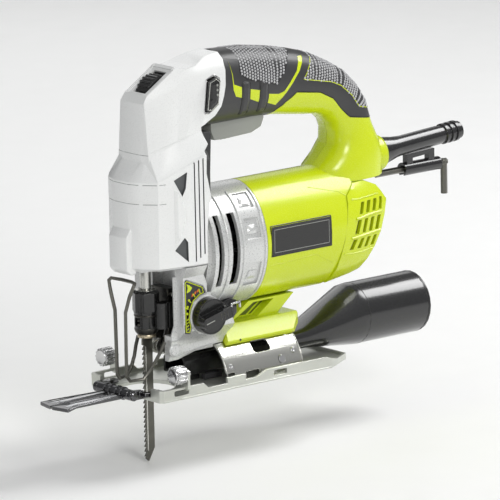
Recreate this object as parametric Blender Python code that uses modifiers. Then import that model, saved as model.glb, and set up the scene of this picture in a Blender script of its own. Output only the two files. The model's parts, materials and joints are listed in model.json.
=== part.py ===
"""Corded D-handle jigsaw, as an assembly of separate pieces.

The frame: +X points to the rear of the tool, +Z up, -Y to the tool's left side.
The origin lies on the sole plate's underside, in the tool's middle plane. Sizes below are in
millimetres and turned into metres where a mesh is made.
"""
import math

import bmesh
import bpy
from mathutils import Matrix, Vector

MM = 0.001
GAP = 0.3                       # clearance between pieces that touch
MERGE = 0.00001                 # metres

# Motor barrel and gear case
MOTOR_Z = 87.3                  # height of the motor axis
BARREL_RY, BARREL_RZ = 31.7, 39.7
WALL = 3.0
SHAFT_R, BEARING_R = 3.9, 9.5
BARREL_FRONT = 18.5
CASE_FRONT = -25.0
# Gear train: a spur pair
MODULE = 1.2
PINION_TEETH, GEAR_TEETH = 9, 36
GEAR_Z = MOTOR_Z + MODULE * (PINION_TEETH + GEAR_TEETH) / 2
CRANK_R = 10.0                  # half of the 20 mm stroke
# Plunger and blade
PLUNGER_X = -58.0
ROD_R = 3.5
BLADE_WIDTH, BLADE_THICKNESS, TOOTH_PITCH = 8.0, 1.2, 3.2
BLADE_TIP = -47.0
CHUCK_LOW, CHUCK_HIGH, CHUCK_R = 37.0, 66.0, 8.2
# Sole
SOLE_FRONT, SOLE_REAR = -76.5, 88.0
SOLE_HALF = 37.2
PLATE_T, WALL_HIGH, WALL_LOW, WALL_T = 2.5, 8.0, 4.5, 2.0
NOTCH_HALF, NOTCH_END = 18.0, -40.0
SADDLE_R, SADDLE_T = 31.0, 1.5
SADDLE_FRONT, SADDLE_REAR = -17.0, 47.0
# Guide fork
PIN_X, PIN_Z, PIN_R = -84.5, 3.6, 2.0
# Thumbscrews
SCREW_X, SCREW_Y, SCREW_Z = -62.8, 37.0, 16.5
TAB_X = -57.3                   # front face of the tab that the screw goes through
# Pendulum
FORK_X, FORK_Z = -43.5, 62.0
ROLLER_X, ROLLER_Z, ROLLER_R = -47.8, 28.0, 5.6
# Controls
KNOB_X, KNOB_Z = -30.0, 49.0
WHEEL_X, WHEEL_Z, WHEEL_R = -45.5, 192.5, 12.0
BUTTON_EDGE = ((-22, 178.9), (-18, 178.4), (-10.9, 183), (-8.8, 198.8), (-12.6, 201.4), (-18.9, 199.2))
BUTTON_X, BUTTON_Z = -15.5, 190.0
TRIGGER_X, TRIGGER_Z = -4.0, 167.5
# Cable sleeve: a line that leaves the boss a little upwards
SLEEVE_FROM = Vector((129.0, 0.0, 126.6))
SLEEVE_DIR = Vector((math.cos(math.radians(4)), 0.0, math.sin(math.radians(4))))
SLEEVE_LONG = 81.0
KEY_Z, KEY_AF, KEY_END = 112.4, 4.0, 197.0
# Dust adaptor
TUBE_R, TUBE_Z, TUBE_END = 20.5, 22.7, 166.0
CONE_END = 108.0

# Colour (sRGB 0-255), roughness, metallic
FINISHES = {
    "silver_paint": ((236, 236, 233), 0.35, 0.15),
    "cast_metal": ((205, 205, 203), 0.40, 0.60),
    "lime_plastic": ((200, 214, 28), 0.32, 0.0),
    "soft_grip": ((72, 72, 72), 0.55, 0.0),
    "black_plastic": ((45, 45, 44), 0.30, 0.0),
    "grey_plastic": ((150, 152, 146), 0.40, 0.0),
    "sole_steel": ((205, 207, 196), 0.45, 0.7),
    "brushed_steel": ((196, 197, 190), 0.30, 1.0),
    "chrome": ((215, 215, 215), 0.12, 1.0),
    "tool_steel": ((95, 95, 88), 0.40, 0.9),
    "dark_steel": ((62, 62, 60), 0.35, 0.8),
    "bronze": ((170, 120, 60), 0.40, 1.0),
    "copper": ((184, 115, 51), 0.35, 1.0),
    "carbon": ((40, 40, 42), 0.70, 0.0),
    "rubber": ((50, 50, 49), 0.45, 0.0),
}


def clear_scene():
    for old in list(bpy.data.objects):
        bpy.data.objects.remove(old, do_unlink=True)


def collection(name):
    group = bpy.data.collections.new(name)
    bpy.context.scene.collection.children.link(group)
    return group


clear_scene()
PARTS = collection("jigsaw")
CUTTERS = collection("cutters")


def linear(channel):
    value = channel / 255
    return value / 12.92 if value <= 0.04045 else ((value + 0.055) / 1.055) ** 2.4


def give_finish(obj, finish):
    colour, roughness, metallic = FINISHES[finish]
    made = bpy.data.materials.new(f"{obj.name}_{finish}")
    made.use_nodes = True
    shader = made.node_tree.nodes["Principled BSDF"]
    shader.inputs["Base Color"].default_value = (*map(linear, colour), 1)
    shader.inputs["Roughness"].default_value = roughness
    shader.inputs["Metallic"].default_value = metallic
    obj.data.materials.append(made)


def add(name, mesh, finish):
    """Put a mesh in the scene as a part, or as a cutter where finish is None."""
    obj = bpy.data.objects.new(name, mesh)
    if finish is None:
        CUTTERS.objects.link(obj)
        obj.hide_render = True
        obj.display_type = "WIRE"
        return obj
    PARTS.objects.link(obj)
    give_finish(obj, finish)
    mesh.shade_smooth()
    mesh.set_sharp_from_angle(angle=math.radians(32))
    return obj


def mesh_from(name, bm):
    bmesh.ops.recalc_face_normals(bm, faces=bm.faces)
    mesh = bpy.data.meshes.new(name)
    bm.to_mesh(mesh)
    bm.free()
    return mesh


def block(name, low, high, finish=None):
    """Box between two corners."""
    low, high = Vector(low) * MM, Vector(high) * MM
    bm = bmesh.new()
    bmesh.ops.create_cube(bm, size=1.0)
    bmesh.ops.scale(bm, vec=high - low, verts=bm.verts)
    bmesh.ops.translate(bm, vec=(low + high) / 2, verts=bm.verts)
    return add(name, mesh_from(name, bm), finish)


def rod(name, start, end, radius, finish=None, sides=32, end_radius=None, turn=0.0):
    """Cylinder, cone or prism between two points."""
    start, end = Vector(start) * MM, Vector(end) * MM
    bm = bmesh.new()
    bmesh.ops.create_cone(
        bm, cap_ends=True, segments=sides, radius1=radius * MM,
        radius2=(radius if end_radius is None else end_radius) * MM,
        depth=(end - start).length)
    lie = (end - start).to_track_quat("Z", "Y").to_matrix().to_4x4()
    spin = Matrix.Rotation(math.radians(turn), 4, "Z")
    bmesh.ops.transform(bm, matrix=Matrix.Translation((start + end) / 2) @ lie @ spin, verts=bm.verts)
    return add(name, mesh_from(name, bm), finish)


def ellipse_rod(name, x_from, x_to, half_y, half_z, finish=None, sides=40):
    """Elliptic cylinder about the motor axis."""
    obj = rod(name, (x_from, 0, 0), (x_to, 0, 0), 1.0, finish, sides)
    obj.data.transform(Matrix.Diagonal((1, half_y, half_z, 1)))
    obj.data.transform(Matrix.Translation((0, 0, MOTOR_Z * MM)))
    return obj


def turned(name, profile, start, direction, finish=None, steps=32):
    """Solid of revolution: profile is (radius, height), from the top down its outer side."""
    mesh = bpy.data.meshes.new(name)
    closed = min(radius for radius, _ in profile) > 0
    points = [(radius * MM, 0, height * MM) for radius, height in profile]
    count = len(points)
    edges = [(i, (i + 1) % count) for i in range(count if closed else count - 1)]
    mesh.from_pydata(points, edges, [])
    obj = add(name, mesh, finish)
    screw = obj.modifiers.new("turn", "SCREW")
    screw.steps = steps
    screw.render_steps = steps
    screw.use_merge_vertices = True
    screw.merge_threshold = MERGE
    screw.use_smooth_shade = True
    obj.location = Vector(start) * MM
    obj.rotation_mode = "QUATERNION"
    obj.rotation_quaternion = Vector(direction).to_track_quat("Z", "Y")
    return obj


def curve_to_mesh(name, curve):
    """Evaluate a curve object and weld its caps."""
    holder = bpy.data.objects.new(name + "_curve", curve)
    CUTTERS.objects.link(holder)
    graph = bpy.context.evaluated_depsgraph_get()
    mesh = bpy.data.meshes.new_from_object(holder.evaluated_get(graph))
    bpy.data.objects.remove(holder, do_unlink=True)
    bm = bmesh.new()
    bm.from_mesh(mesh)
    bmesh.ops.remove_doubles(bm, verts=bm.verts, dist=MERGE)
    bm.to_mesh(mesh)
    bm.free()
    return mesh


PLANES = {
    "XY": Matrix.Identity(4),
    "XZ": Matrix(((1, 0, 0, 0), (0, 0, 1, 0), (0, 1, 0, 0), (0, 0, 0, 1))),
    "YZ": Matrix(((0, 0, 1, 0), (1, 0, 0, 0), (0, 1, 0, 0), (0, 0, 0, 1))),
}


def slab(name, loops, plane, low, high, finish=None):
    """Flat outline (the first loop) with holes (the others), extruded along its plane's normal."""
    curve = bpy.data.curves.new(name, "CURVE")
    curve.dimensions = "2D"
    curve.fill_mode = "BOTH"
    curve.extrude = (high - low) / 2 * MM
    for loop in loops:
        spline = curve.splines.new("POLY")
        spline.points.add(len(loop) - 1)
        spline.use_cyclic_u = True
        for point, (a, b) in zip(spline.points, loop):
            point.co = (a * MM, b * MM, 0, 1)
    mesh = curve_to_mesh(name, curve)
    mesh.transform(PLANES[plane] @ Matrix.Translation((0, 0, (low + high) / 2 * MM)))
    bm = bmesh.new()
    bm.from_mesh(mesh)
    mesh.clear_geometry()
    bmesh.ops.recalc_face_normals(bm, faces=bm.faces)
    bm.to_mesh(mesh)
    bm.free()
    return add(name, mesh, finish)


def wire(name, points, radius, finish=None, resolution=2):
    """Round wire along points."""
    curve = bpy.data.curves.new(name, "CURVE")
    curve.dimensions = "3D"
    curve.bevel_depth = radius * MM
    curve.bevel_resolution = resolution
    curve.use_fill_caps = True
    spline = curve.splines.new("POLY")
    spline.points.add(len(points) - 1)
    for point, place in zip(spline.points, points):
        point.co = (*(Vector(place) * MM), 1)
    return add(name, curve_to_mesh(name, curve), finish)


def loft(name, rings, finish=None):
    """Skin between rings with equal numbers of points, with flat ends."""
    bm = bmesh.new()
    rows = [[bm.verts.new(Vector(point) * MM) for point in ring] for ring in rings]
    for lower, upper in zip(rows, rows[1:]):
        for i in range(len(lower)):
            j = (i + 1) % len(lower)
            bm.faces.new((lower[i], lower[j], upper[j], upper[i]))
    bm.faces.new(rows[0])
    bm.faces.new(rows[-1])
    return add(name, mesh_from(name, bm), finish)


def boolean(obj, operation, *others):
    for other in others:
        step = obj.modifiers.new(operation.lower(), "BOOLEAN")
        step.operation = operation
        step.solver = "EXACT"
        step.object = other
    return obj


def cut(obj, *others):
    return boolean(obj, "DIFFERENCE", *others)


def join(obj, *others):
    return boolean(obj, "UNION", *others)


def within(obj, *others):
    return boolean(obj, "INTERSECT", *others)


def bevel(obj, width, segments=2, angle=40):
    step = obj.modifiers.new("edges", "BEVEL")
    step.width = width * MM
    step.segments = segments
    step.limit_method = "ANGLE"
    step.angle_limit = math.radians(angle)
    return obj


def on_axis(name, point, *pieces):
    """Parent moving pieces to an empty that stands on their joint's axis."""
    empty = bpy.data.objects.new(name, None)
    empty.location = Vector(point) * MM
    empty.empty_display_size = 0.01
    PARTS.objects.link(empty)
    for piece in pieces:
        piece.parent = empty
        piece.matrix_parent_inverse = Matrix.Translation(-empty.location)
    return empty


def arc(centre, radius, start, end, count):
    """Points on a circle, angles in degrees."""
    steps = [math.radians(start + (end - start) * i / (count - 1)) for i in range(count)]
    return [(centre[0] + radius * math.cos(a), centre[1] + radius * math.sin(a)) for a in steps]


def circle(centre, radius, count=24):
    return arc(centre, radius, 0, 360 * (count - 1) / count, count)


def toothed(centre, teeth, root, tip, phase=0.0, fill=0.4):
    """Outline of a toothed wheel. fill is the share of the pitch that a tooth takes at its root."""
    points = []
    for k in range(teeth):
        middle = phase + 360 * k / teeth
        half = 180 / teeth * fill * 1.25
        for turn, radius in ((-half, root), (-half * 0.55, tip), (half * 0.55, tip), (half, root)):
            angle = math.radians(middle + turn)
            points.append((centre[0] + radius * math.cos(angle), centre[1] + radius * math.sin(angle)))
    return points


def rounded(low, high, radius, count=4):
    """Rectangle with round corners."""
    (x0, z0), (x1, z1) = low, high
    corners = ((x1 - radius, z1 - radius, 0), (x0 + radius, z1 - radius, 90),
               (x0 + radius, z0 + radius, 180), (x1 - radius, z0 + radius, 270))
    return [p for x, z, a in corners for p in arc((x, z), radius, a, a + 90, count)]


def along_sleeve(distance):
    return SLEEVE_FROM + SLEEVE_DIR * distance


def power(value, exponent):
    return math.copysign(abs(value) ** exponent, value)


# ---------------------------------------------------------------- handle and housing

# Outer and inner points of the handle in side view, and its half width there
HANDLE = (
    ((-34, 212.5), (-34, 166.5), 19.5),
    ((-4, 215), (-14, 166.5), 19.2),
    ((25, 214), (25, 166.5), 18.2),
    ((45, 211), (43, 166.2), 18.0),
    ((62, 207.5), (57, 164.3), 18.0),
    ((77, 203.3), (70, 162.5), 17.6),
    ((92, 196), (81, 161.5), 17.0),
    ((105, 188.5), (88, 159.0), 16.6),
    ((115.5, 178.5), (94, 153.5), 16.5),
    ((122.5, 168), (96, 147), 16.5),
    ((127.5, 152), (95, 139), 17.0),
    ((134, 139), (88, 132), 18.5),
    ((137, 128), (80, 125), 20.0),
    ((136, 116), (78, 112), 20.0),
)
# Edge between the dark grip and the lime housing, in side view
GRIP_EDGE = ((38.5, 160), (39.5, 167.5), (42, 169.9), (49, 176), (57, 181.2), (77, 178.2), (88.2, 172.6),
             (96.2, 164), (102.6, 158.2), (135, 153))
# Rear edge of the front cover, in side view, from the top down
COVER_EDGE = ((-1, 219), (-2, 211), (-2.6, 204), (-3.7, 193.5), (-5.4, 187), (-7.8, 181), (-13.5, 175.7),
              (-22, 171.2), (-25, 170.2))
CAP_SEAM = ((98, 135), (98, 116), (89, 109), (81, 69), (80, 58), (80, 40))


def handle_rings(inset, count=20, exponent=2.5):
    rings = []
    for outer, inner, half in HANDLE:
        top, low = Vector((outer[0], 0, outer[1])), Vector((inner[0], 0, inner[1]))
        centre, reach = (top + low) / 2, (top - low) / 2
        reach = reach.normalized() * (reach.length - inset)
        ring = []
        for k in range(count):
            angle = 2 * math.pi * k / count
            side = (half - inset) * power(math.sin(angle), 2 / exponent)
            ring.append(centre + reach * power(math.cos(angle), 2 / exponent) + Vector((0, side, 0)))
        rings.append(ring)
    return rings


def shifted(points, dx, dz=0.0):
    return [(x + dx, z + dz) for x, z in points]


def handle_pieces():
    """Lime clamshell halves with the barrel, the handle's rear and the cable boss, and the grip halves."""
    outside = loft("handle_outside", handle_rings(0))
    hollow = loft("handle_hollow", handle_rings(3.2, 12))
    barrel = ellipse_rod("barrel_outside", BARREL_FRONT, 98, BARREL_RY, BARREL_RZ)
    bore = ellipse_rod("barrel_bore", BARREL_FRONT - 5, 110, BARREL_RY - WALL, BARREL_RZ - WALL)
    boss = rod("boss_outside", (118, 0, 126.6), (139, 0, 127.0), 11.8)
    boss_bore = rod("boss_bore", along_sleeve(-18), along_sleeve(16), 7.1, sides=20)
    behind = slab("behind_seam", [list(CAP_SEAM[1:]) + [(160, 40), (160, 116)]], "XZ", -45, 45)
    dark = [(-60, 160)] + list(GRIP_EDGE) + [(170, 153), (170, 240), (-60, 240)]
    dark_side = slab("dark_side", [dark], "XZ", -45, 45)
    lime_dark = slab("dark_side_grown", [shifted(dark, GAP / 2, -1.5 * GAP)], "XZ", -45, 45)
    pocket = block("badge_pocket", (21.5, -40, 79.5), (72.5, -30.9, 99.5))
    cover_side = [(-60, 150), (-24.7, 150)] + shifted(reversed(COVER_EDGE), GAP) + [(-60, 225)]
    cover_side = slab("cover_side", [cover_side], "XZ", -45, 45)
    slot = block("trigger_slot", (-8.5, -8.6, 155), (37.5, 8.6, 175))
    form = join(barrel, outside, boss)
    for side, low, high in (("left", -60, -GAP / 2), ("right", GAP / 2, 60)):
        lime = block(f"housing_{side}", (10, low, 40), (145, high, 200), "lime_plastic")
        within(lime, form)
        cut(lime, bore, hollow, boss_bore, behind, lime_dark)
        if side == "left":
            cut(lime, pocket)
        grip = block(f"grip_{side}", (-34, low, 150), (145, high, 222), "soft_grip")
        within(grip, outside, dark_side)
        cut(grip, hollow, cover_side, slot)


def strut():
    """Dark pillar that closes the hand opening at the front."""
    outline = [(-24.7, 165.9), (-14.5, 165.9), (-15.6, 140), (-16, 117), (-24.7, 117)]
    pillar = bevel(slab("handle_strut", [outline], "XZ", -17, 17, "soft_grip"), 2.0)
    web = [(27, 127.9), (27, 150), (24, 155), (-24, 155), (-27, 150), (-27, 127.9)]
    join(pillar, slab("strut_web", [web], "YZ", -28.6, -24.4))
    cut(pillar, ellipse_rod("strut_clearance", -40, 20, BARREL_RY + 0.3, BARREL_RZ + 0.4))


def rear_cap():
    """End cap behind the barrel, hollow, with rows of slanted vents on both sides."""
    def ring(x, half, top, low, inset=0.0):
        centre, reach = (top + low) / 2, (top - low) / 2 - inset
        turns = [2 * math.pi * (k + 0.5) / 24 for k in range(24)]
        return [(x, (half - inset) * power(math.cos(a), 0.85), centre + reach * power(math.sin(a), 0.85))
                for a in turns]

    stations = ((76, 31.7, 127, 47.6), (98, 31.1, 125, 50), (119, 26.6, 120, 54), (134, 20.0, 114, 60))
    side = [(70, 48), (83, 51.5), (105, 56.5), (116.5, 78), (128.5, 101), (121, 111), (110, 115.6),
            (70, 115.6)]
    inner = [(60, 50), (83, 54.5), (103, 59.3), (113.5, 79), (125, 100.5), (118.6, 108.4), (109, 112.6),
             (60, 112.6)]
    inside = loft("cap_inside", [ring(*s, inset=3.0) for s in ((70, 31.7, 127, 47.6),) + stations])
    within(inside, slab("cap_inside_side", [inner], "XZ", -45, 45))
    ahead = slab("ahead_of_seam", [shifted(CAP_SEAM, GAP) + [(40, 40), (40, 135)]], "XZ", -45, 45)
    cap = loft("rear_cap", [ring(*s) for s in stations], "lime_plastic")
    within(cap, slab("cap_side", [side], "XZ", -45, 45))
    cut(cap, inside, ahead)
    lean, wide, pitch = 3.0, 3.4, 6.6
    for low, high, first in ((96.0, 103.5, 97.0), (83.5, 92.5, 92.5), (73.5, 80.0, 88.5)):
        for k in range(4):
            x = first + pitch * k
            outline = [(x, low), (x + wide, low), (x + wide + lean, high), (x + lean, high)]
            cut(cap, slab(f"vent_{low:.0f}_{k}", [outline], "XZ", -45, 45))


def badge():
    """Blank plate in the barrel's pocket."""
    block("badge_plate", (22, -31.6, 80), (72, -31.2, 99), "black_plastic")


# ---------------------------------------------------------------- front cover and gear case

# Neck of the cover: for each X, half sections (half width, height) from low down to the top edge
NECK = (
    (-66.8, ((11.9, 100), (6.6, 186), (6.4, 187.5), (6.2, 189), (6.0, 190.5))),
    (-64.9, ((20.1, 100), (12.2, 188), (11.8, 189.2), (11.4, 190.4), (11.0, 191.5))),
    (-62.0, ((20.7, 100), (12.6, 188.7), (12.1, 190.5), (11.6, 192.3), (11.0, 194))),
    (-45.0, ((25.6, 100), (16.0, 195.6), (14.4, 198.7), (12.8, 201.8), (11.0, 204.8))),
    (-38.4, ((26.4, 100), (16.6, 198.4), (14.8, 202), (13, 205.6), (11.0, 209))),
    (-25.0, ((23.6, 100), (18.5, 202.5), (17.0, 205.4), (14.4, 208.2), (10.8, 210.6))),
    (-13.0, ((22.0, 100), (19.3, 195), (18.2, 203.4), (14.6, 209.8), (8.0, 214.4))),
    (4.0, ((20.6, 100), (18.9, 195), (17.7, 204.3), (14.0, 211.4), (8.0, 216.2))),
)
# Lower body of the cover: plan points (X, half width, height) at four levels
BODY = (
    ((-70, 7, 76), (-66, 12, 76), (-57, 16.5, 76), (-45, 19.5, 76), (-20, 24, 76)),
    ((-76.5, 7, 84), (-73, 16.5, 84), (-66, 25, 84), (-45, 29.5, 84), (-20, 31.3, 84)),
    ((-76.5, 7, 140), (-73, 16.5, 140), (-65.5, 25, 140), (-45, 29.5, 147.5), (-20, 31.3, 157.5)),
    ((-66.3, 6.3, 152), (-65.8, 10, 153), (-63.8, 14, 156), (-45, 19.2, 162.5), (-20, 20, 169.5)),
)
SLOPE_LOW, SLOPE_HIGH = Vector((-62.0, 0, 194.0)), Vector((-38.4, 0, 209.0))
COVER_WALL = 2.1


def cover_form(name, wall, finish=None):
    """Neck and lower body of the cover as one solid, drawn in by the wall on all sides but the open ones."""
    sections = list(NECK)
    body = list(BODY)
    if wall:
        sections.append((20.0, NECK[-1][1]))
        body[0] = tuple((x, half, 50) for x, half, _ in BODY[1])
    rings = []
    for x, half in sections:
        points = [(wide - wall, z - wall * (z > 150)) for wide, z in half]
        forward = wall * (x < -60)
        ring = [(x + forward, y, z) for y, z in points]
        rings.append(ring + [(x, -y, z) for x, y, z in ring[::-1]])
    levels = []
    for level in body:
        ring = [(x + wall * (x < -60), half - wall, z - wall * (z > 130) * 0.6) for x, half, z in level]
        levels.append(ring + [(x, -y, z) for x, y, z in ring[::-1]])
    return join(loft(name, rings, finish), loft(f"{name}_body", levels))


def front_cover():
    """Painted cover over the gear train, open at the bottom and the rear."""
    cover = cover_form("front_cover", 0.0, "silver_paint")
    nose = [(-70, 79), (-76.5, 79), (-80, 83), (-80, 104), (-76, 110), (-70, 110)]
    join(cover, bevel(slab("cover_nose", [nose], "XZ", -9.3, 9.3), 1.5))
    side = [(-82, 70), (-82, 150), (-66.9, 157), (-65.3, 189), (-61.9, 194), (-38.4, 209), (-33, 207.8),
            (-24, 208.9), (-14, 213), (-1.8, 214.4)]
    side += list(COVER_EDGE[1:]) + [(-25.3, 170.2), (-25.3, 160), (-29.8, 156), (-30.2, 142), (-26.8, 126),
                                    (-28.3, 122), (-30.5, 105), (-30.5, 83),
                                    (-48.6, 83), (-50, 70)]
    within(cover, slab("cover_side_outline", [side], "XZ", -45, 45))
    inner = [(-90, 40), (-90, 155), (-64.7, 157), (-63.1, 188), (-60.3, 192.3), (-38.2, 206.3), (-33.2, 205.3),
             (-23.6, 206.5), (-13.2, 210.5), (18, 213.6), (18, 40)]
    hollow = cover_form("cover_inside", COVER_WALL)
    cut(cover, within(hollow, slab("cover_inside_side", [inner], "XZ", -45, 45)))
    along = (SLOPE_HIGH - SLOPE_LOW).normalized()
    inward = Vector((along.z, 0, -along.x))
    middle = Vector((WHEEL_X, 0, WHEEL_Z))
    middle -= inward * inward.dot(middle - SLOPE_LOW)
    for name, reach, low, deep, wide in (("recess", 13.0, 8, 0.9, 11.0), ("window", 10.6, 8, 12.0, 6.4)):
        corners = [middle + along * a + inward * b for a, b in ((-reach, -low), (reach, -low), (reach, deep),
                                                                (-reach, deep))]
        cut(cover, slab(f"wheel_{name}", [[(p.x, p.z) for p in corners]], "XZ", -wide, wide))
    cut(cover, slab("button_window", [BUTTON_EDGE], "XZ", -40, -10))


def gear_case():
    """Cast ring behind the cover, with air slots on both sides and a bulkhead for the bearings."""
    case = ellipse_rod("gear_case", CASE_FRONT, BARREL_FRONT - GAP, BARREL_RY, BARREL_RZ, "cast_metal")
    cut(case, ellipse_rod("case_bore", CASE_FRONT + 3, 40, BARREL_RY - WALL, BARREL_RZ - WALL))
    join(case, ellipse_rod("bulkhead", -28, -23, 27.5, 35.0, sides=32))
    cut(case, rod("bearing_seat", (-40, 0, MOTOR_Z), (-10, 0, MOTOR_Z), BEARING_R + GAP))
    cut(case, rod("axle_seat", (-40, 0, GEAR_Z), (-10, 0, GEAR_Z), 4.3, sides=20))
    for k, (front, rear) in enumerate(((-22.0, -17.7), (-10.7, -4.5))):
        cut(case, block(f"air_slot_{k}", (front, -45, 66), (rear, 45, 112)))


def gear_foot():
    """Cast foot under the cover, slotted at the front for the pendulum, with the knob's seat."""
    half = [(15, 20), (17, 24.5), (17.5, 30), (19, 33.5), (26, 40), (26, 75.6), (30.2, 82.6)]
    ring = half + [(-y, z) for y, z in reversed(half)]
    foot = slab("gear_foot", [ring], "YZ", -52.6, -4, "cast_metal")
    side = [(-52.6, 20), (-45, 20.2), (-32, 24.2), (-10.5, 24.5), (-5, 36.5), (-10, 50), (-24.5, 60),
            (-30.8, 75.6), (-30.8, 82.6), (-48.2, 82.6), (-48.2, 75.6), (-50.4, 75.6), (-50.4, 44),
            (-52.6, 38)]
    within(foot, slab("foot_side", [side], "XZ", -40, 40))
    cut(foot, ellipse_rod("case_clearance", -28.4, 40, BARREL_RY + 0.4, BARREL_RZ + 0.4),
        rod("saddle_clearance", (SADDLE_FRONT - 0.4, 0, 0), (60, 0, 0), SADDLE_R + 0.6, sides=64),
        block("pendulum_slot", (-70, -11.5, 0), (-34.5, 11.5, 90)),
        block("lever_room", (-70, -18, 37), (-43, 18, 90)),
        block("corner_left", (-70, -40, 34), (-48, -19, 90)),
        block("cheek_right", (-70, 11, 0), (-46, 40, 90)))
    join(foot, rod("foot_boss", (-49.5, -18.4, 27.5), (-49.5, -14, 27.5), 4.6, sides=20))
    cut(foot, rod("knob_seat", (KNOB_X, -40, KNOB_Z), (KNOB_X, -24, KNOB_Z), 3.3, sides=20))
    pocket = [(-47.4, 38.6), (-42.4, 37.6), (-41, 42.6), (-42.4, 48), (-41.6, 53.6), (-39, 58.6), (-34.4, 61.8),
              (-28.6, 63), (-31.5, 68.6), (-45.4, 74.6), (-47.4, 73)]
    cut(foot, slab("label_pocket", [pocket], "XZ", -40, -25.2))
    label = [(-46.9, 39.2), (-42.9, 38.4), (-41.7, 42.7), (-43, 48), (-42.2, 53.8), (-39.5, 59.1), (-34.7, 62.4),
             (-29.6, 63.5), (-31.9, 68.1), (-45.3, 74), (-46.9, 72.7)]
    slab("dial_label", [label], "XZ", -25.9, -25.5, "black_plastic")


def tilt_bracket():
    """Lime bracket that bears on the saddle, with the swept strut up to the barrel."""
    half = [(19, 22), (20.2, 24.3), (21.5, 25.7), (21.5, 27), (18.3, 30.8), (13.5, 36), (0, 36)]
    ring = half + [(-y, z) for y, z in reversed(half[:-1])]
    bracket = slab("tilt_bracket", [ring], "YZ", -12, 56, "lime_plastic")
    join(bracket, slab("bracket_strut", [[(0, 34), (42, 34), (58, 47.2), (20, 47.2)]], "XZ", -8.5, 8.5))
    plan = [(-14, -22), (46, -22), (57, -14), (58.5, -6), (58.5, 6), (57, 14), (46, 22), (-14, 22)]
    within(bracket, slab("bracket_plan", [plan], "XY", 10, 50))
    cut(bracket, rod("bracket_arch", (-20, 0, 0), (70, 0, 0), SADDLE_R + 0.6, sides=64),
        slab("bracket_front", [[(-14, 15), (-14, 50), (-4.2, 50), (-4.2, 36.5), (-9.8, 24.5), (-9.8, 15)]],
             "XZ", -30, 30))
    relief = [(7, 36.2), (27, 36.2), (41, 45.8), (24, 45.8)]
    for name, low, high in (("left", -9, -2.2), ("right", 2.2, 9)):
        cut(bracket, slab(f"strut_relief_{name}", [relief], "XZ", low, high))


# ---------------------------------------------------------------- motor

def sleeve_section(outer, inner, wide):
    """Half section of a plain ring, for turned()."""
    return [(inner, wide), (outer, wide), (outer, 0), (inner, 0)]


def motor():
    """Armature with pinion, fan and commutator, its bearings, stator and brushes."""
    centre = (0, MOTOR_Z)
    seat = circle(centre, SHAFT_R + GAP, 16)
    shaft = rod("armature_shaft", (-36, 0, MOTOR_Z), (108, 0, MOTOR_Z), SHAFT_R, "tool_steel", 16)
    pinion = toothed(centre, PINION_TEETH, 4.05, 6.2, phase=90)
    join(shaft, slab("pinion_teeth", [pinion], "YZ", -45, -35.5))
    core = slab("armature_core", [toothed(centre, 12, 14.5, 17, fill=0.7), seat], "YZ", 32, 72, "copper")
    segments = slab("commutator", [circle(centre, 11, 24), seat], "YZ", 78, 91, "copper")
    fan = slab("fan", [toothed(centre, 14, 8, 25.5, fill=0.28), seat], "YZ", -9, 3, "black_plastic")
    join(fan, slab("fan_disc", [circle(centre, 26, 28), seat], "YZ", 1.5, 4.5))
    on_axis("motor_axis", (0, 0, MOTOR_Z), shaft, core, segments, fan)
    race = sleeve_section(BEARING_R, SHAFT_R + GAP, 7)
    turned("front_bearing", race, (-29.5, 0, MOTOR_Z), (1, 0, 0), "brushed_steel", 24)
    turned("rear_bearing", race, (99.5, 0, MOTOR_Z), (1, 0, 0), "brushed_steel", 24)
    stator = turned("stator", sleeve_section(27.0, 18.0, 44), (30, 0, MOTOR_Z), (1, 0, 0), "dark_steel", 32)
    cut(stator, block("stator_gap_up", (20, -5, MOTOR_Z), (80, 5, MOTOR_Z + 23)),
        block("stator_gap_low", (20, -5, MOTOR_Z - 23), (80, 5, MOTOR_Z)))
    carrier = slab("bearing_carrier", [circle(centre, 24.5, 32), circle(centre, BEARING_R + GAP, 24)],
                   "YZ", 100, 104, "black_plastic")
    for k, (y, z) in enumerate(circle(centre, 17.3, 8)[1::2]):
        cut(carrier, rod(f"carrier_hole_{k}", (90, y, z), (110, y, z), 4.0, sides=16))
    for side, name in ((-1, "left"), (1, "right")):
        low, high = sorted((side * 11.4, side * 24))
        block(f"brush_{name}", (80.5, low, MOTOR_Z - 4), (88.5, high, MOTOR_Z + 4), "carbon")


def gear_train():
    """Drive gear with its crank pin on a fixed axle."""
    teeth = toothed((0, GEAR_Z), GEAR_TEETH, 20.2, 22.6, phase=-90 + 180 / GEAR_TEETH)
    gear = slab("drive_gear", [teeth, circle((0, GEAR_Z), 4.3, 20)], "YZ", -44, -38, "tool_steel")
    pin_z = GEAR_Z - CRANK_R
    join(gear, rod("crank_web", (-45, 0, pin_z), (-43, 0, pin_z), 5.2, sides=20))
    join(gear, rod("crank_pin", (-49, 0, pin_z), (-44.5, 0, pin_z), 3.2, sides=20))
    rod("gear_axle", (-45.5, 0, GEAR_Z), (-24, 0, GEAR_Z), 4.0, "brushed_steel", 20)
    on_axis("gear_axis", (-41, 0, GEAR_Z), gear)


# ---------------------------------------------------------------- plunger, chuck and blade

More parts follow.
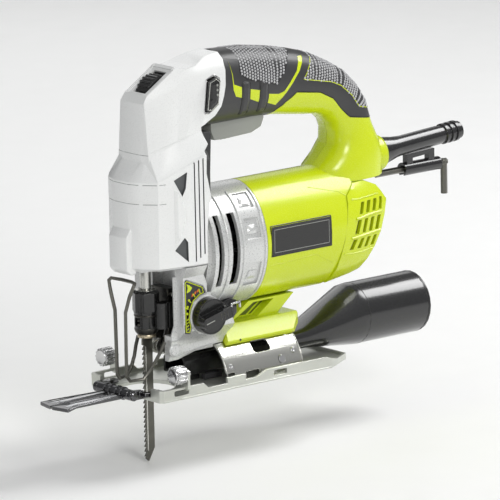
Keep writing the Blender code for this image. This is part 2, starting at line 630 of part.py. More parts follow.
def plunger_group():
    """Plunger with yoke, bushes and their frame, chuck, clamp ring, lever and blade."""
    yoke_z = GEAR_Z - CRANK_R
    rod_piece = rod("plunger", (PLUNGER_X, 0, CHUCK_LOW + 8), (PLUNGER_X, 0, 144), ROD_R, "brushed_steel", 24)
    slot = rounded((-14, yoke_z - 3.6), (14, yoke_z + 3.6), 3.5)
    yoke = slab("yoke_plate", [rounded((-17, yoke_z - 7.5), (17, yoke_z + 7.5), 3), slot], "YZ", -53.5, -49.6)
    join(rod_piece, yoke, block("yoke_neck_low", (-57, -4, yoke_z - 7.4), (-50, 4, yoke_z - 3.8)),
         block("yoke_neck_high", (-57, -4, yoke_z + 3.8), (-50, 4, yoke_z + 7.4)))
    outline = [(-19.8, 87.5), (19.8, 87.5), (19.8, 134), (12, 143), (-12, 143), (-19.8, 134)]
    frame = slab("plunger_frame", [outline], "YZ", -64, -54.5, "cast_metal")
    cut(frame, block("frame_window", (-70, -17.6, 94.5), (-40, 17.6, 135)))
    cut(frame, rod("frame_bore", (PLUNGER_X, 0, 80), (PLUNGER_X, 0, 150), 6.0, sides=20))
    tube = sleeve_section(5.6, ROD_R + GAP, 7.6)
    turned("lower_bush", tube, (PLUNGER_X, 0, 87.2), (0, 0, 1), "bronze", 20)
    turned("upper_bush", tube, (PLUNGER_X, 0, 135.2), (0, 0, 1), "bronze", 20)
    chuck = turned("blade_chuck", [
        (4.1, CHUCK_HIGH), (7.0, CHUCK_HIGH), (CHUCK_R, 64.5), (CHUCK_R, 51.5), (7.7, 50.6), (7.7, 40.5),
        (6.2, 37.6), (4.1, 37.6),
    ], (PLUNGER_X, 0, 0), (0, 0, 1), "black_plastic", 24)
    cut(chuck, block("chuck_window", (-70, -2.6, 43), (PLUNGER_X, 2.6, 48.5)))
    ring = turned("clamp_ring", sleeve_section(5.6, 4.3, 2.2), (PLUNGER_X, 0, 35.0), (0, 0, 1),
                  "brushed_steel", 20)
    outline = arc((-54.5, -11.5), 3.8, 175, 340, 9)
    outline += [(-50.7, -14.6), (-46.6, -14.6), (-46.6, -9.2), (-50.6, -7.0), (-57.7, -8.0)]
    lever = slab("release_lever", [outline], "XY", 41.8, 58.5, "black_plastic")
    cut(lever, rod("lever_clearance", (PLUNGER_X, 0, 30), (PLUNGER_X, 0, 70), CHUCK_R + GAP, sides=32))
    on_axis("plunger_axis", (PLUNGER_X, 0, 0), rod_piece, chuck, ring, blade())
    on_axis("lever_axis", (PLUNGER_X, 0, 50), lever)


def blade():
    """T-shank blade: teeth on the front edge, slanted tip, shank inside the chuck."""
    front, back = PLUNGER_X - BLADE_WIDTH / 2, PLUNGER_X + BLADE_WIDTH / 2
    teeth_top = 30.0
    outline = [(PLUNGER_X - 1.0, BLADE_TIP), (back, BLADE_TIP + 8.5), (back, 33.5), (PLUNGER_X + 2.8, 36),
               (PLUNGER_X + 2.8, 44), (PLUNGER_X - 2.8, 44), (PLUNGER_X - 2.8, 36), (front, 33.5)]
    count = int((teeth_top - BLADE_TIP) / TOOTH_PITCH)
    for k in range(count):
        z = teeth_top - TOOTH_PITCH * k
        outline += [(front, z), (front + 1.6, z - 0.5)]
    outline.append((front + 0.4, BLADE_TIP + 2.2))
    return slab("saw_blade", [outline], "XZ", -BLADE_THICKNESS / 2, BLADE_THICKNESS / 2, "tool_steel")


# ---------------------------------------------------------------- pendulum

def pendulum():
    """Fork that carries the guide roller behind the blade, on a cross pin in the foot."""
    arm = [(FORK_X - 3.5, 66), (FORK_X + 3.5, 66), (-38.5, 52), (-39, 38), (-42.5, 27), (ROLLER_X, 23.2),
           (ROLLER_X - 2.6, 27), (-46.5, 38), (-45.5, 52)]
    fork = slab("pendulum_fork", [arm], "XZ", -8.0, 8.0, "dark_steel")
    cut(fork, block("fork_gap", (-60, -4.6, 10), (-36, 4.6, 50)))
    cut(fork, rod("fork_bore", (FORK_X, -20, FORK_Z), (FORK_X, 20, FORK_Z), 2.4, sides=16))
    cut(fork, rod("roller_pin_bore", (ROLLER_X, -20, ROLLER_Z), (ROLLER_X, 20, ROLLER_Z), 1.9, sides=16))
    rod("fork_pin", (FORK_X, -11.2, FORK_Z), (FORK_X, 11.2, FORK_Z), 2.1, "brushed_steel", 16)
    roller = turned("guide_roller", [(1.9, 3.6), (ROLLER_R, 3.6), (ROLLER_R, 0.9), (4.6, 0.5), (4.6, -0.5),
                                     (ROLLER_R, -0.9), (ROLLER_R, -3.6), (1.9, -3.6)],
                    (ROLLER_X, 0, ROLLER_Z), (0, 1, 0), "brushed_steel", 24)
    pin = rod("roller_pin", (ROLLER_X, -7.8, ROLLER_Z), (ROLLER_X, 7.8, ROLLER_Z), 1.6, "brushed_steel", 16)
    on_axis("fork_axis", (FORK_X, 0, FORK_Z), fork, pin)
    on_axis("roller_axis", (ROLLER_X, 0, ROLLER_Z), roller)


# ---------------------------------------------------------------- controls

def controls():
    """Pendulum knob, trigger and switch, lock-on button, speed wheel and its module."""
    knob = rod("pendulum_knob", (KNOB_X, -26.3, KNOB_Z), (KNOB_X, -33, KNOB_Z), 11.75, "black_plastic", 32)
    bar = slab("knob_bar", [rounded((-12.5, -3.6), (12.5, 3.6), 2.4)], "XZ", -40, -32)
    bar.data.transform(Matrix.Translation(Vector((KNOB_X, 0, KNOB_Z)) * MM)
                       @ Matrix.Rotation(math.radians(-14), 4, "Y"))
    join(knob, bar, rod("knob_stem", (KNOB_X, -27, KNOB_Z), (KNOB_X, -24.6, KNOB_Z), 3.0, sides=20))
    on_axis("knob_axis", (KNOB_X, -26, KNOB_Z), knob)
    outline = [(-7.5, 172), (-7.5, 163), (-5, 156.8), (4, 156.5), (26, 157.5), (34, 160.5), (36.5, 166),
               (36.5, 172)]
    trigger = bevel(slab("trigger", [outline], "XZ", -8, 8, "grey_plastic"), 1.2)
    on_axis("trigger_axis", (TRIGGER_X, 0, TRIGGER_Z), trigger)
    bevel(block("switch_body", (-3, -9, 177.5), (34, 9, 197), "black_plastic"), 0.8)
    face = [(x + (BUTTON_X - x) * 0.09, z + (BUTTON_Z - z) * 0.07) for x, z in BUTTON_EDGE]
    button = bevel(slab("lock_button", [face], "XZ", -21.6, -15.0, "black_plastic"), 0.6)
    on_axis("button_axis", (BUTTON_X, -18, BUTTON_Z), button)
    ribs = toothed((WHEEL_X, WHEEL_Z), 24, WHEEL_R - 0.8, WHEEL_R, fill=0.5)
    wheel = slab("speed_wheel", [ribs, circle((WHEEL_X, WHEEL_Z), 2.4, 12)], "XZ", -5.6, 5.6, "black_plastic")
    on_axis("wheel_axis", (WHEEL_X, 0, WHEEL_Z), wheel)
    rod("wheel_pin", (WHEEL_X, -12, WHEEL_Z), (WHEEL_X, 12, WHEEL_Z), 2.0, "brushed_steel", 12)
    block("speed_module", (-32, -10, 176), (-25.5, 10, 199), "dark_steel")


# ---------------------------------------------------------------- sole

def sole():
    """Pressed sole with side walls, a U notch for the blade and slots for a fence."""
    half = [(SOLE_FRONT, NOTCH_HALF), (SOLE_FRONT, 35), (-74.3, SOLE_HALF), (65.5, SOLE_HALF),
            (SOLE_REAR, 24.6)]
    notch = arc((NOTCH_END - NOTCH_HALF, 0), NOTCH_HALF, 90, -90, 13)
    outline = [(x, -y) for x, y in half] + half[::-1] + notch
    plate = slab("sole_plate", [outline], "XY", 0, WALL_HIGH, "sole_steel")
    wide, toe = SOLE_HALF - WALL_T, SOLE_FRONT + WALL_T
    tray = [(toe - 6, 26), (toe, 26), (toe, 34), (-73.2, wide), (64.9, wide), (SOLE_REAR - WALL_T, 23.4)]
    tray += [(x, -y) for x, y in reversed(tray)]
    cut(plate, slab("sole_tray", [tray], "XY", PLATE_T, 20))
    fall = [(60, 10), (60, WALL_HIGH), (74, 4.2), (100, 4.2), (100, 10)]
    cut(plate, slab("rear_wall_fall", [fall], "XZ", -50, 50))
    dips = [(-44, 10), (-38, WALL_LOW), (-22, WALL_LOW), (-22, 10)]
    cut(plate, slab("wall_dip_front", [dips], "XZ", -50, 50))
    cut(plate, slab("wall_dip_rear", [[(-7, 10), (-7, WALL_LOW), (2, WALL_LOW), (17, 10)]], "XZ", -50, 50))
    for name, x, reach in (("front", -60, 6), ("rear", 22, 5.5)):
        slot = rounded((x - reach, 3.0), (x + reach, 6.5), 0.8, 3)
        cut(plate, slab(f"fence_slot_{name}", [slot], "XZ", -50, 50))
    for side, name in ((-1, "left"), (1, "right")):
        y = side * SCREW_Y
        tab = arc((SCREW_Y, SCREW_Z), 3.2, 0, 180, 9)
        tab += [(SCREW_Y - 3.2, 7.0), (SCREW_Y - 1.7, 5.0), (SCREW_Y + 0.1, 5.0), (SCREW_Y + 3.2, 7.0)]
        tab = [(side * a, z) for a, z in tab]
        join(plate, slab(f"screw_tab_{name}", [tab], "YZ", TAB_X, TAB_X + WALL_T))
        cut(plate, rod(f"tab_hole_{name}", (-62, y, SCREW_Z), (-50, y, SCREW_Z), 2.2, sides=16))


def saddle():
    """Steel arch on the sole, with a clamping slot on each side and two rivets."""
    low = math.degrees(math.asin((PLATE_T + GAP) / SADDLE_R))
    inner_low = math.degrees(math.asin((PLATE_T + GAP) / (SADDLE_R - SADDLE_T)))
    outline = arc((0, 0), SADDLE_R, low, 180 - low, 25)
    outline += arc((0, 0), SADDLE_R - SADDLE_T, 180 - inner_low, inner_low, 25)
    arch = slab("saddle", [outline], "YZ", SADDLE_FRONT, SADDLE_REAR, "brushed_steel")
    cut(arch, block("leg_gap_front", (-50, -40, 0), (-10, 40, 8.5)))
    cut(arch, block("leg_gap_mid", (-1, -40, 0), (10, 40, 7.5)))
    for side in (-1, 1):
        name = "left" if side < 0 else "right"
        slot = slab(f"saddle_slot_{name}", [rounded((10, -4.5), (24, 4.5), 2.5)], "XY", 27, 34)
        slot.data.transform(Matrix.Rotation(math.radians(-side * 48), 4, "X"))
        cut(arch, slot)
        outward = Vector((0, side * math.cos(math.radians(20)), math.sin(math.radians(20))))
        start, end = outward * 27.5, outward * 31.3
        bore = rod(f"rivet_bore_{name}", (30, *(outward * 26).yz), (30, *(outward * 34).yz), 2.9, sides=16)
        cut(arch, bore)
        rod(f"saddle_rivet_{name}", (30, start.y, start.z), (30, end.y, end.z), 2.6, "chrome", 16)


def dust_parts():
    """Chute on the sole and the adaptor that plugs into it."""
    section = [(-11, 7), (11, 7), (11, 16.5), (8.5, 19.6), (-8.5, 19.6), (-11, 16.5)]
    bore = [(-9.4, 8.6), (9.4, 8.6), (9.4, 15.8), (7.8, 18.0), (-7.8, 18.0), (-9.4, 15.8)]
    chute = slab("dust_chute", [section, bore], "YZ", -36, 54, "black_plastic")
    join(chute, block("chute_foot_front", (-30, -8, PLATE_T + GAP), (-22, 8, 8)),
         block("chute_foot_rear", (38, -8, PLATE_T + GAP), (46, 8, 8)))

    def oval(x, half_y, low, high, squareness):
        turns = [2 * math.pi * k / 24 for k in range(24)]
        middle, reach = (low + high) / 2, (high - low) / 2
        return [(x, half_y * power(math.cos(a), squareness), middle + reach * power(math.sin(a), squareness))
                for a in turns]

    def tube(name, wall, start, end, finish=None):
        low, high = TUBE_Z - TUBE_R + wall, TUBE_Z + TUBE_R - wall
        reach = TUBE_R - wall
        flat = wall * 0.8
        return loft(name, [
            oval(start, 9.0 - flat, 8.9 + flat, 17.7 - flat, 0.45),
            oval(54.4, 9.0 - flat, 8.9 + flat, 17.7 - flat, 0.45),
            oval(54.6 + flat, 11 - wall * 1.6, 7.6 + wall * 1.2, 20 - wall * 1.5, 0.5),
            oval(68, 11.5 - wall, 7.6 + wall, 21.5 - wall, 0.6),
            oval(CONE_END, reach - 0.3, low + 0.4, high - 0.4, 1.0),
            oval(CONE_END + 5, reach, low, high, 1.0),
            oval(end, reach, low, high, 1.0)], finish)

    adaptor = tube("dust_adaptor", 0.0, 44, TUBE_END, "rubber")
    cut(adaptor, tube("adaptor_inside", 2.0, 40, TUBE_END + 10))
    on_axis("adaptor_axis", (54, 0, 14), adaptor)


def thumbscrews():
    """Two knurled screws that clamp a fence, axis along the tool."""
    for side, name in ((-1, "left"), (1, "right")):
        y = side * SCREW_Y
        ridges = toothed((y, SCREW_Z), 14, 5.3, 6.0, fill=0.5)
        head = slab(f"thumbscrew_{name}", [ridges], "YZ", SCREW_X - 4, SCREW_X + 4, "chrome")
        end = (TAB_X + 3.7, y, SCREW_Z)
        join(head, rod(f"thumbscrew_shank_{name}", (SCREW_X, y, SCREW_Z), end, 1.8, sides=16))
        on_axis(f"thumbscrew_axis_{name}", (SCREW_X, y, SCREW_Z), head)


def line_guide():
    """Two-pronged guide on a cross pin, held by arms on the sole's toes."""
    for side, name in ((-1, "left"), (1, "right")):
        low, high = sorted((side * 15.6, side * 19.2))
        eye = arc((PIN_X, PIN_Z), 3.5, 60, 300, 11) + [(-76.9, 0.6), (-76.9, 6.0)]
        arm = slab(f"guide_mount_{name}", [eye], "XZ", low, high, "chrome")
        reach_low, reach_high = sorted((side * 16.2, side * 25))
        pad_low, pad_high = sorted((side * 20.4, side * 25))
        join(arm, block(f"mount_foot_{name}", (-80, reach_low, PLATE_T + GAP), (-76.2, reach_high, 5.4)),
             block(f"mount_pad_{name}", (-76.6, pad_low, PLATE_T + GAP), (-66, pad_high, 5.0)))
        cut(arm, rod(f"mount_bore_{name}", (PIN_X, -30, PIN_Z), (PIN_X, 30, PIN_Z), PIN_R + GAP, sides=16))
    rod("guide_pin", (PIN_X, -19.6, PIN_Z), (PIN_X, 19.6, PIN_Z), PIN_R, "chrome", 16)
    hub = rod("line_guide", (PIN_X, -15.2, PIN_Z), (PIN_X, 15.2, PIN_Z), 3.5, "chrome", 24)
    for side, name in ((-1, "left"), (1, "right")):
        prong = [(-84, 3.4), (-126, 2.9), (-137, 1.2), (-134.2, 14.4), (-124, 9.4), (-84, 9.6)]
        join(hub, slab(f"prong_{name}", [[(x, side * y) for x, y in prong]], "XY", 0.4, 2.6))
    cut(hub, rod("hub_bore", (PIN_X, -30, PIN_Z), (PIN_X, 30, PIN_Z), PIN_R + GAP, sides=16))
    on_axis("guide_axis", (PIN_X, 0, PIN_Z), hub)


def wire_guard():
    """Bent spring wire in front of the blade, from the cover down and back to the foot."""
    foot_end = [(-54.2, 13.6, 33), (-57, 12.7, 27), (-59.8, 11.0, 21), (-64, 9.1, 14.5), (-68, 8.4, 10)]
    front = [(-76.5, 5.4, 9.6), (-79, 4.8, 13), (-79, 5.0, 30), (-79, 5.4, 55), (-78.7, 9.6, 66),
             (-77.6, 12.8, 73.2), (-76.2, 12.0, 74.6), (-73.5, 5, 74.2)]
    half = foot_end + front
    points = half + [(x, -y, z) for x, y, z in reversed(half)]
    wire("wire_guard", points, 1.2, "tool_steel")


# ---------------------------------------------------------------- cable sleeve and hex key

def sleeve_and_key():
    """Cable sleeve with a ribbed end, and the clip under it that holds the hex key."""
    bore, ribs = 3.6, []
    for k in range(3):
        at = SLEEVE_LONG - 3 - 4.6 * k
        ribs += [(7.0, at), (7.0, at - 2.2), (6.0, at - 2.6), (6.0, at - 4.2)]
    profile = [(bore, SLEEVE_LONG), (6.0, SLEEVE_LONG), (6.0, SLEEVE_LONG - 2.6)] + ribs
    profile += [(6.4, 62), (6.6, 30), (7.2, 24), (9.4, 13.5), (9.4, 11.2), (6.5, 10.9), (6.5, 0), (bore, 0)]
    turned("cable_sleeve", profile, SLEEVE_FROM, SLEEVE_DIR, "rubber", 18)
    channel = turned("key_clip", [(2.7, 32), (4.5, 32), (4.5, 0), (2.7, 0)], (160, 0, KEY_Z), (1, 0, 0),
                     "black_plastic", 24)
    cut(channel, block("clip_mouth", (150, -1.9, 100), (200, 1.9, KEY_Z)))
    low = along_sleeve(30).z - 6.6 - GAP
    posts = [(163, KEY_Z + 3.4), (168, KEY_Z + 3.4), (168, low - 2.4), (182, low - 1.4), (182, KEY_Z + 3.4),
             (187, KEY_Z + 3.4), (187, low + 1.6), (163, low + 0.2)]
    join(channel, slab("clip_post", [posts], "XZ", -2.2, 2.2))
    key_r = KEY_AF / math.sqrt(3)
    key = rod("hex_key", (137, 0, KEY_Z), (KEY_END + 2, 0, KEY_Z), key_r, "tool_steel", 6)
    join(key, rod("hex_key_leg", (KEY_END, 0, KEY_Z + 2), (KEY_END, 0, 91.0), key_r, sides=6))
    on_axis("key_axis", (167, 0, KEY_Z), key)


handle_pieces()
strut()
rear_cap()
badge()
front_cover()
gear_case()
gear_foot()
tilt_bracket()
motor()
gear_train()
plunger_group()
pendulum()
controls()
sole()
saddle()
dust_parts()
thumbscrews()
line_guide()
wire_guard()
sleeve_and_key()
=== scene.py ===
import json
import math
import bmesh
import bpy
from mathutils import Matrix, Vector
from mathutils.bvhtree import BVHTree
from mathutils.geometry import delaunay_2d_cdt


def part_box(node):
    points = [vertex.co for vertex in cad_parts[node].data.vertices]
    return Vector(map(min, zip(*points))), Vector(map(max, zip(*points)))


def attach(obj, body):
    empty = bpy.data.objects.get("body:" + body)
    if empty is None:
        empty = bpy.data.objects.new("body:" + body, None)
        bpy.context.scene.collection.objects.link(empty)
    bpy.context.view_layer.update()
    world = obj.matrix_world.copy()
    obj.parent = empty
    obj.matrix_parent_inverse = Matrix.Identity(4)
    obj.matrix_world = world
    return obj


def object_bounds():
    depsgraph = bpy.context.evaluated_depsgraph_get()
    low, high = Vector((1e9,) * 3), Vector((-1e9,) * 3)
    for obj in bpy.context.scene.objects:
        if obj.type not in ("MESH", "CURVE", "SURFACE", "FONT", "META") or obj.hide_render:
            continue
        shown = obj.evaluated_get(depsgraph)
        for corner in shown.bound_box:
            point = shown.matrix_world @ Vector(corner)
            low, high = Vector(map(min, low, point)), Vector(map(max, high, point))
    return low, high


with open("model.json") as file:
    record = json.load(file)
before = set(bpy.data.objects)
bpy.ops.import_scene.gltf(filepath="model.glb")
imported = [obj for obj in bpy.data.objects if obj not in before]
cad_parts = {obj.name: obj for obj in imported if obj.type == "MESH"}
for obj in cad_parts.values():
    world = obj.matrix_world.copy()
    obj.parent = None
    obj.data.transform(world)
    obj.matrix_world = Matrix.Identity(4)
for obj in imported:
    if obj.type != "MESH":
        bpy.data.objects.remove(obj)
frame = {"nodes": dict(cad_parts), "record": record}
CAD_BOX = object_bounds()
NODES = frame["nodes"]
BODY_OF = {node: body for body, nodes in frame["record"]["behaviour"]["bodies"].items() for node in nodes}
MM = 0.001
WELD = 0.000002                # metres, joins the vertices that the import splits
ON_AXIS = 0.0001               # mm, radius that stands for a point on the axis
SAME_POINT = 0.000001          # metres, vertices of a turned piece this close are one
OUTLINE_GAP = 0.0001           # mm, points of an outline this close are one
MISS_DEPTH = 120               # mm along a ray that misses, where the nearest surface is looked for
BROAD_GRAIN = 34               # scale of the slow colour variation
BEAD_STEP = 1.6                # mm between the points of a bead

# Places on the tool, in millimetres
MOTOR_Z = 87.3
BARREL_RY, BARREL_RZ = 31.7, 39.7
PLUNGER_X = -58.0
KNOB = (-30.0, 49.0)
PIN_X, PIN_Z = -84.5, 3.6
SADDLE_R = 31.05
TUBE_Z = 22.7
SCREW_Y, SCREW_Z = 37.0, 16.5
SLEEVE_FROM = Vector((129.0, 0, 126.6))
SLEEVE_LEAN = (math.cos(math.radians(4)), 0, math.sin(math.radians(4)))
UNDERSIDE = -47.6              # floor level, just under the blade's tip


# ---------------------------------------------------------------- materials

def linear(colour):
    """sRGB 0-255 to linear RGBA."""
    out = []
    for part in colour:
        part /= 255
        out.append(part / 12.92 if part <= 0.04045 else ((part + 0.055) / 1.055) ** 2.4)
    return (*out, 1.0)


def tinted(colour, factor):
    """The colour made darker or lighter by a factor."""
    return tuple(max(0, min(255, part * factor)) for part in colour)


class Surface:
    """A node material built from noise: grain, colour variation, worn edges, uneven gloss."""

    def __init__(self, name, colour, rough, metal=0.0, grain=900, bump=0.12, vary=0.06, wear=None,
                 wear_amount=0.5, coat=0.0, specular=0.5, stretch=(1, 1, 1), round_off=0.5, spread=0.05):
        self.material = bpy.data.materials.new(name)
        self.material.use_nodes = True
        self.tree = self.material.node_tree
        self.tree.nodes.clear()
        output = self.node("ShaderNodeOutputMaterial")
        self.shader = self.node("ShaderNodeBsdfPrincipled")
        self.link(self.shader.outputs[0], output.inputs[0])
        self.shader.inputs["Metallic"].default_value = metal
        self.shader.inputs["Coat Weight"].default_value = coat
        self.shader.inputs["Coat Roughness"].default_value = 0.12
        self.shader.inputs["Specular IOR Level"].default_value = specular
        place = self.node("ShaderNodeTexCoord").outputs["Object"]
        mapping = self.node("ShaderNodeMapping")
        mapping.inputs["Scale"].default_value = stretch
        self.link(place, mapping.inputs["Vector"])
        self.place = mapping.outputs[0]
        fine = self.noise(grain, 3.0)
        broad = self.noise(BROAD_GRAIN, 4.0)
        rounded = self.node("ShaderNodeBevel", samples=4)
        rounded.inputs["Radius"].default_value = round_off * MM
        bumped = self.node("ShaderNodeBump")
        bumped.inputs["Strength"].default_value = bump
        bumped.inputs["Distance"].default_value = 0.0002
        self.link(fine, bumped.inputs["Height"])
        self.link(rounded.outputs[0], bumped.inputs["Normal"])
        self.link(bumped.outputs[0], self.shader.inputs["Normal"])
        shade = self.mix(broad, tinted(colour, 1 - vary), tinted(colour, 1 + vary * 0.5))
        if wear is not None:
            shade = self.mix(self.edges(rounded.outputs[0], fine, wear_amount), shade, wear)
        self.link(shade, self.shader.inputs["Base Color"])
        self.link(self.range(fine, 0.3, 0.7, max(0.03, rough - spread), rough + spread),
                  self.shader.inputs["Roughness"])

    def node(self, kind, **values):
        node = self.tree.nodes.new(kind)
        for key, value in values.items():
            setattr(node, key, value)
        return node

    def link(self, start, end):
        self.tree.links.new(start, end)

    def noise(self, scale, detail):
        noise = self.node("ShaderNodeTexNoise")
        noise.inputs["Scale"].default_value = scale
        noise.inputs["Detail"].default_value = detail
        self.link(self.place, noise.inputs["Vector"])
        return noise.outputs["Fac"]

    def range(self, value, low, high, to_low, to_high):
        node = self.node("ShaderNodeMapRange")
        for key, number in zip(("From Min", "From Max", "To Min", "To Max"), (low, high, to_low, to_high)):
            node.inputs[key].default_value = number
        self.link(value, node.inputs["Value"])
        return node.outputs[0]

    def math(self, operation, first, second):
        node = self.node("ShaderNodeMath", operation=operation)
        for socket, value in zip(node.inputs, (first, second)):
            if isinstance(value, (int, float)):
                socket.default_value = value
            else:
                self.link(value, socket)
        return node.outputs[0]

    def mix(self, factor, first, second):
        node = self.node("ShaderNodeMix", data_type="RGBA")
        self.link(factor, node.inputs["Factor"])
        for socket, value in ((node.inputs[6], first), (node.inputs[7], second)):
            if isinstance(value, tuple):
                socket.default_value = linear(value)
            else:
                self.link(value, socket)
        return node.outputs[2]

    def edges(self, rounded, speckle, amount):
        """1 on worn edges, from how far the rounded normal leaves the face's own."""
        dot = self.node("ShaderNodeVectorMath", operation="DOT_PRODUCT")
        self.link(rounded, dot.inputs[0])
        self.link(self.node("ShaderNodeNewGeometry").outputs["True Normal"], dot.inputs[1])
        sharp = self.range(dot.outputs["Value"], 0.97, 0.80, 0.0, amount)
        return self.math("MULTIPLY", sharp, self.range(speckle, 0.35, 0.6, 0.35, 1.0))


def finishes():
    """One material for each finish in the record, and the finishes that only the looks use."""
    looks = {}

    def finish(name, *values, **more):
        looks[name] = Surface(f"{name}_look", *values, **more)

    finish("silver_paint", (233, 234, 233), 0.30, 0.12, grain=2600, bump=0.05, vary=0.025,
           wear=(252, 252, 252), wear_amount=0.7, coat=0.35)
    finish("cast_metal", (214, 215, 214), 0.30, 0.45, grain=1500, bump=0.10, vary=0.05,
           wear=(240, 240, 238), wear_amount=0.4)
    finish("lime_plastic", (204, 220, 24), 0.26, grain=2200, bump=0.06, vary=0.035, wear=(226, 236, 90),
           wear_amount=0.55, coat=0.2)
    finish("soft_grip", (56, 56, 57), 0.36, grain=2600, bump=0.22, vary=0.10, wear=(112, 112, 112),
           wear_amount=0.5)
    finish("black_plastic", (24, 24, 24), 0.24, grain=2000, bump=0.08, vary=0.12, wear=(110, 110, 110),
           wear_amount=0.5, coat=0.25)
    finish("grey_plastic", (150, 152, 146), 0.38, grain=1800, bump=0.10, vary=0.06, wear=(190, 190, 186),
           wear_amount=0.4)
    finish("sole_steel", (206, 208, 200), 0.34, 0.75, grain=500, bump=0.10, vary=0.10,
           wear=(244, 244, 240), wear_amount=0.8, stretch=(1, 6, 6))
    finish("brushed_steel", (204, 204, 198), 0.24, 1.0, grain=700, bump=0.03, vary=0.05,
           wear=(240, 240, 236), wear_amount=0.7, stretch=(1, 5, 5), spread=0.03)
    finish("chrome", (214, 214, 214), 0.13, 1.0, grain=900, bump=0.04, vary=0.06, wear=(250, 250, 250),
           wear_amount=0.6)
    finish("tool_steel", (104, 103, 97), 0.34, 0.9, grain=800, bump=0.12, vary=0.12, wear=(190, 188, 178),
           wear_amount=0.8, stretch=(1, 1, 5))
    finish("dark_steel", (66, 65, 62), 0.30, 0.85, grain=900, bump=0.12, vary=0.14, wear=(168, 164, 152),
           wear_amount=0.8)
    finish("bronze", (172, 128, 74), 0.36, 0.95, grain=900, bump=0.12, vary=0.12, wear=(222, 186, 128),
           wear_amount=0.6)
    finish("copper", (184, 115, 51), 0.34, 1.0, grain=900, bump=0.12, vary=0.10, wear=(226, 160, 104),
           wear_amount=0.5)
    finish("carbon", (40, 40, 42), 0.70, grain=1600, bump=0.3, vary=0.15)
    finish("rubber", (30, 30, 30), 0.34, grain=2400, bump=0.16, vary=0.10, wear=(92, 92, 92),
           wear_amount=0.4)
    finish("black_chrome", (96, 96, 98), 0.10, 1.0, grain=900, bump=0.05, vary=0.12, wear=(210, 210, 210),
           wear_amount=0.6)
    finish("adaptor", (26, 26, 27), 0.24, grain=2000, bump=0.04, vary=0.10, wear=(80, 80, 80),
           wear_amount=0.4, coat=0.6)
    finish("tan_steel", (196, 184, 158), 0.28, 0.9, grain=900, bump=0.06, vary=0.08, wear=(236, 230, 214),
           wear_amount=0.6)
    # Dark olive lime, painted shadow for the shaded hollow in the strut
    finish("lime_painted_shadow", (96, 108, 20), 0.4, grain=2200, bump=0.06, vary=0.05)
    # Dark grey, painted as shade on the floors of the cover's grooves and notches; the cover's thin dark
    # lines use it too
    finish("recess", (92, 94, 95), 0.45, 0.2, grain=2400, bump=0.1, vary=0.05)
    # Pale grey, painted as the highlight on the grip's raised dots
    finish("grip_dot_highlight", (186, 186, 188), 0.3, grain=2400, bump=0.1, vary=0.10)
    # Near white, painted as the reflection on the line guide's upper faces
    finish("painted_reflection", (236, 238, 240), 0.2, 0.25, grain=1200, bump=0.04, vary=0.05)
    finish("label_orange", (224, 110, 36), 0.35, grain=2400, bump=0.06, vary=0.05)
    finish("floor", (250, 250, 249), 0.6, grain=60, bump=0.02, vary=0.01)
    return looks


LOOKS = finishes()
SLOT_OF = {part["node"]: part["material_slot"] for part in frame["record"]["subparts"]}


def smoothing():
    """Geometry nodes that shade smooth everything flatter than the given angle."""
    group = bpy.data.node_groups.new("smooth_by_angle", "GeometryNodeTree")
    group.interface.new_socket("Geometry", in_out="INPUT", socket_type="NodeSocketGeometry")
    group.interface.new_socket("Geometry", in_out="OUTPUT", socket_type="NodeSocketGeometry")
    angle = group.interface.new_socket("Angle", in_out="INPUT", socket_type="NodeSocketFloat")
    start = group.nodes.new("NodeGroupInput")
    end = group.nodes.new("NodeGroupOutput")
    faces = group.nodes.new("GeometryNodeSetShadeSmooth")
    edges = group.nodes.new("GeometryNodeSetShadeSmooth")
    edges.domain = "EDGE"
    between = group.nodes.new("GeometryNodeInputMeshEdgeAngle")
    less = group.nodes.new("FunctionNodeCompare")
    less.operation = "LESS_THAN"
    group.links.new(start.outputs["Geometry"], faces.inputs["Geometry"])
    group.links.new(faces.outputs[0], edges.inputs["Geometry"])
    group.links.new(between.outputs["Unsigned Angle"], less.inputs[0])
    group.links.new(start.outputs["Angle"], less.inputs[1])
    group.links.new(less.outputs[0], edges.inputs["Shade Smooth"])
    group.links.new(edges.outputs[0], end.inputs[0])
    return group, angle.identifier


SMOOTH, SMOOTH_ANGLE = smoothing()


def smooth(obj, degrees=30):
    """Shades smooth every edge flatter than this."""
    modifier = obj.modifiers.new("smooth", "NODES")
    modifier.node_group = SMOOTH
    modifier[SMOOTH_ANGLE] = math.radians(degrees)
    return obj


def dress_nodes():
    """Welds each CAD node and gives it the finish of its slot."""
    for name, obj in NODES.items():
        weld = obj.modifiers.new("weld", "WELD")
        weld.merge_threshold = WELD
        obj.data.materials.clear()
        obj.data.materials.append(LOOKS[SLOT_OF[name]].material)


def dress_guide_and_rubber():
    """Gives the guide a dark chrome, and the adaptor, cable sleeve and key clip a glossy rubber."""
    for name in ("line_guide", "guide_pin", "guide_mount_left", "guide_mount_right"):
        NODES[name].data.materials[0] = LOOKS["black_chrome"].material
    for name in ("dust_adaptor", "cable_sleeve", "key_clip"):
        NODES[name].data.materials[0] = LOOKS["adaptor"].material


# ---------------------------------------------------------------- laying detail on CAD surfaces

# Where a ray starts, outside the tool, and which way it goes
VIEWS = {
    "left": lambda a, b: (Vector((a, -150, b)), Vector((0, 1, 0))),
    "right": lambda a, b: (Vector((a, 150, b)), Vector((0, -1, 0))),
    "front": lambda a, b: (Vector((-200, a, b)), Vector((1, 0, 0))),
    "top": lambda a, b: (Vector((a, b, 300)), Vector((0, 0, -1))),
}


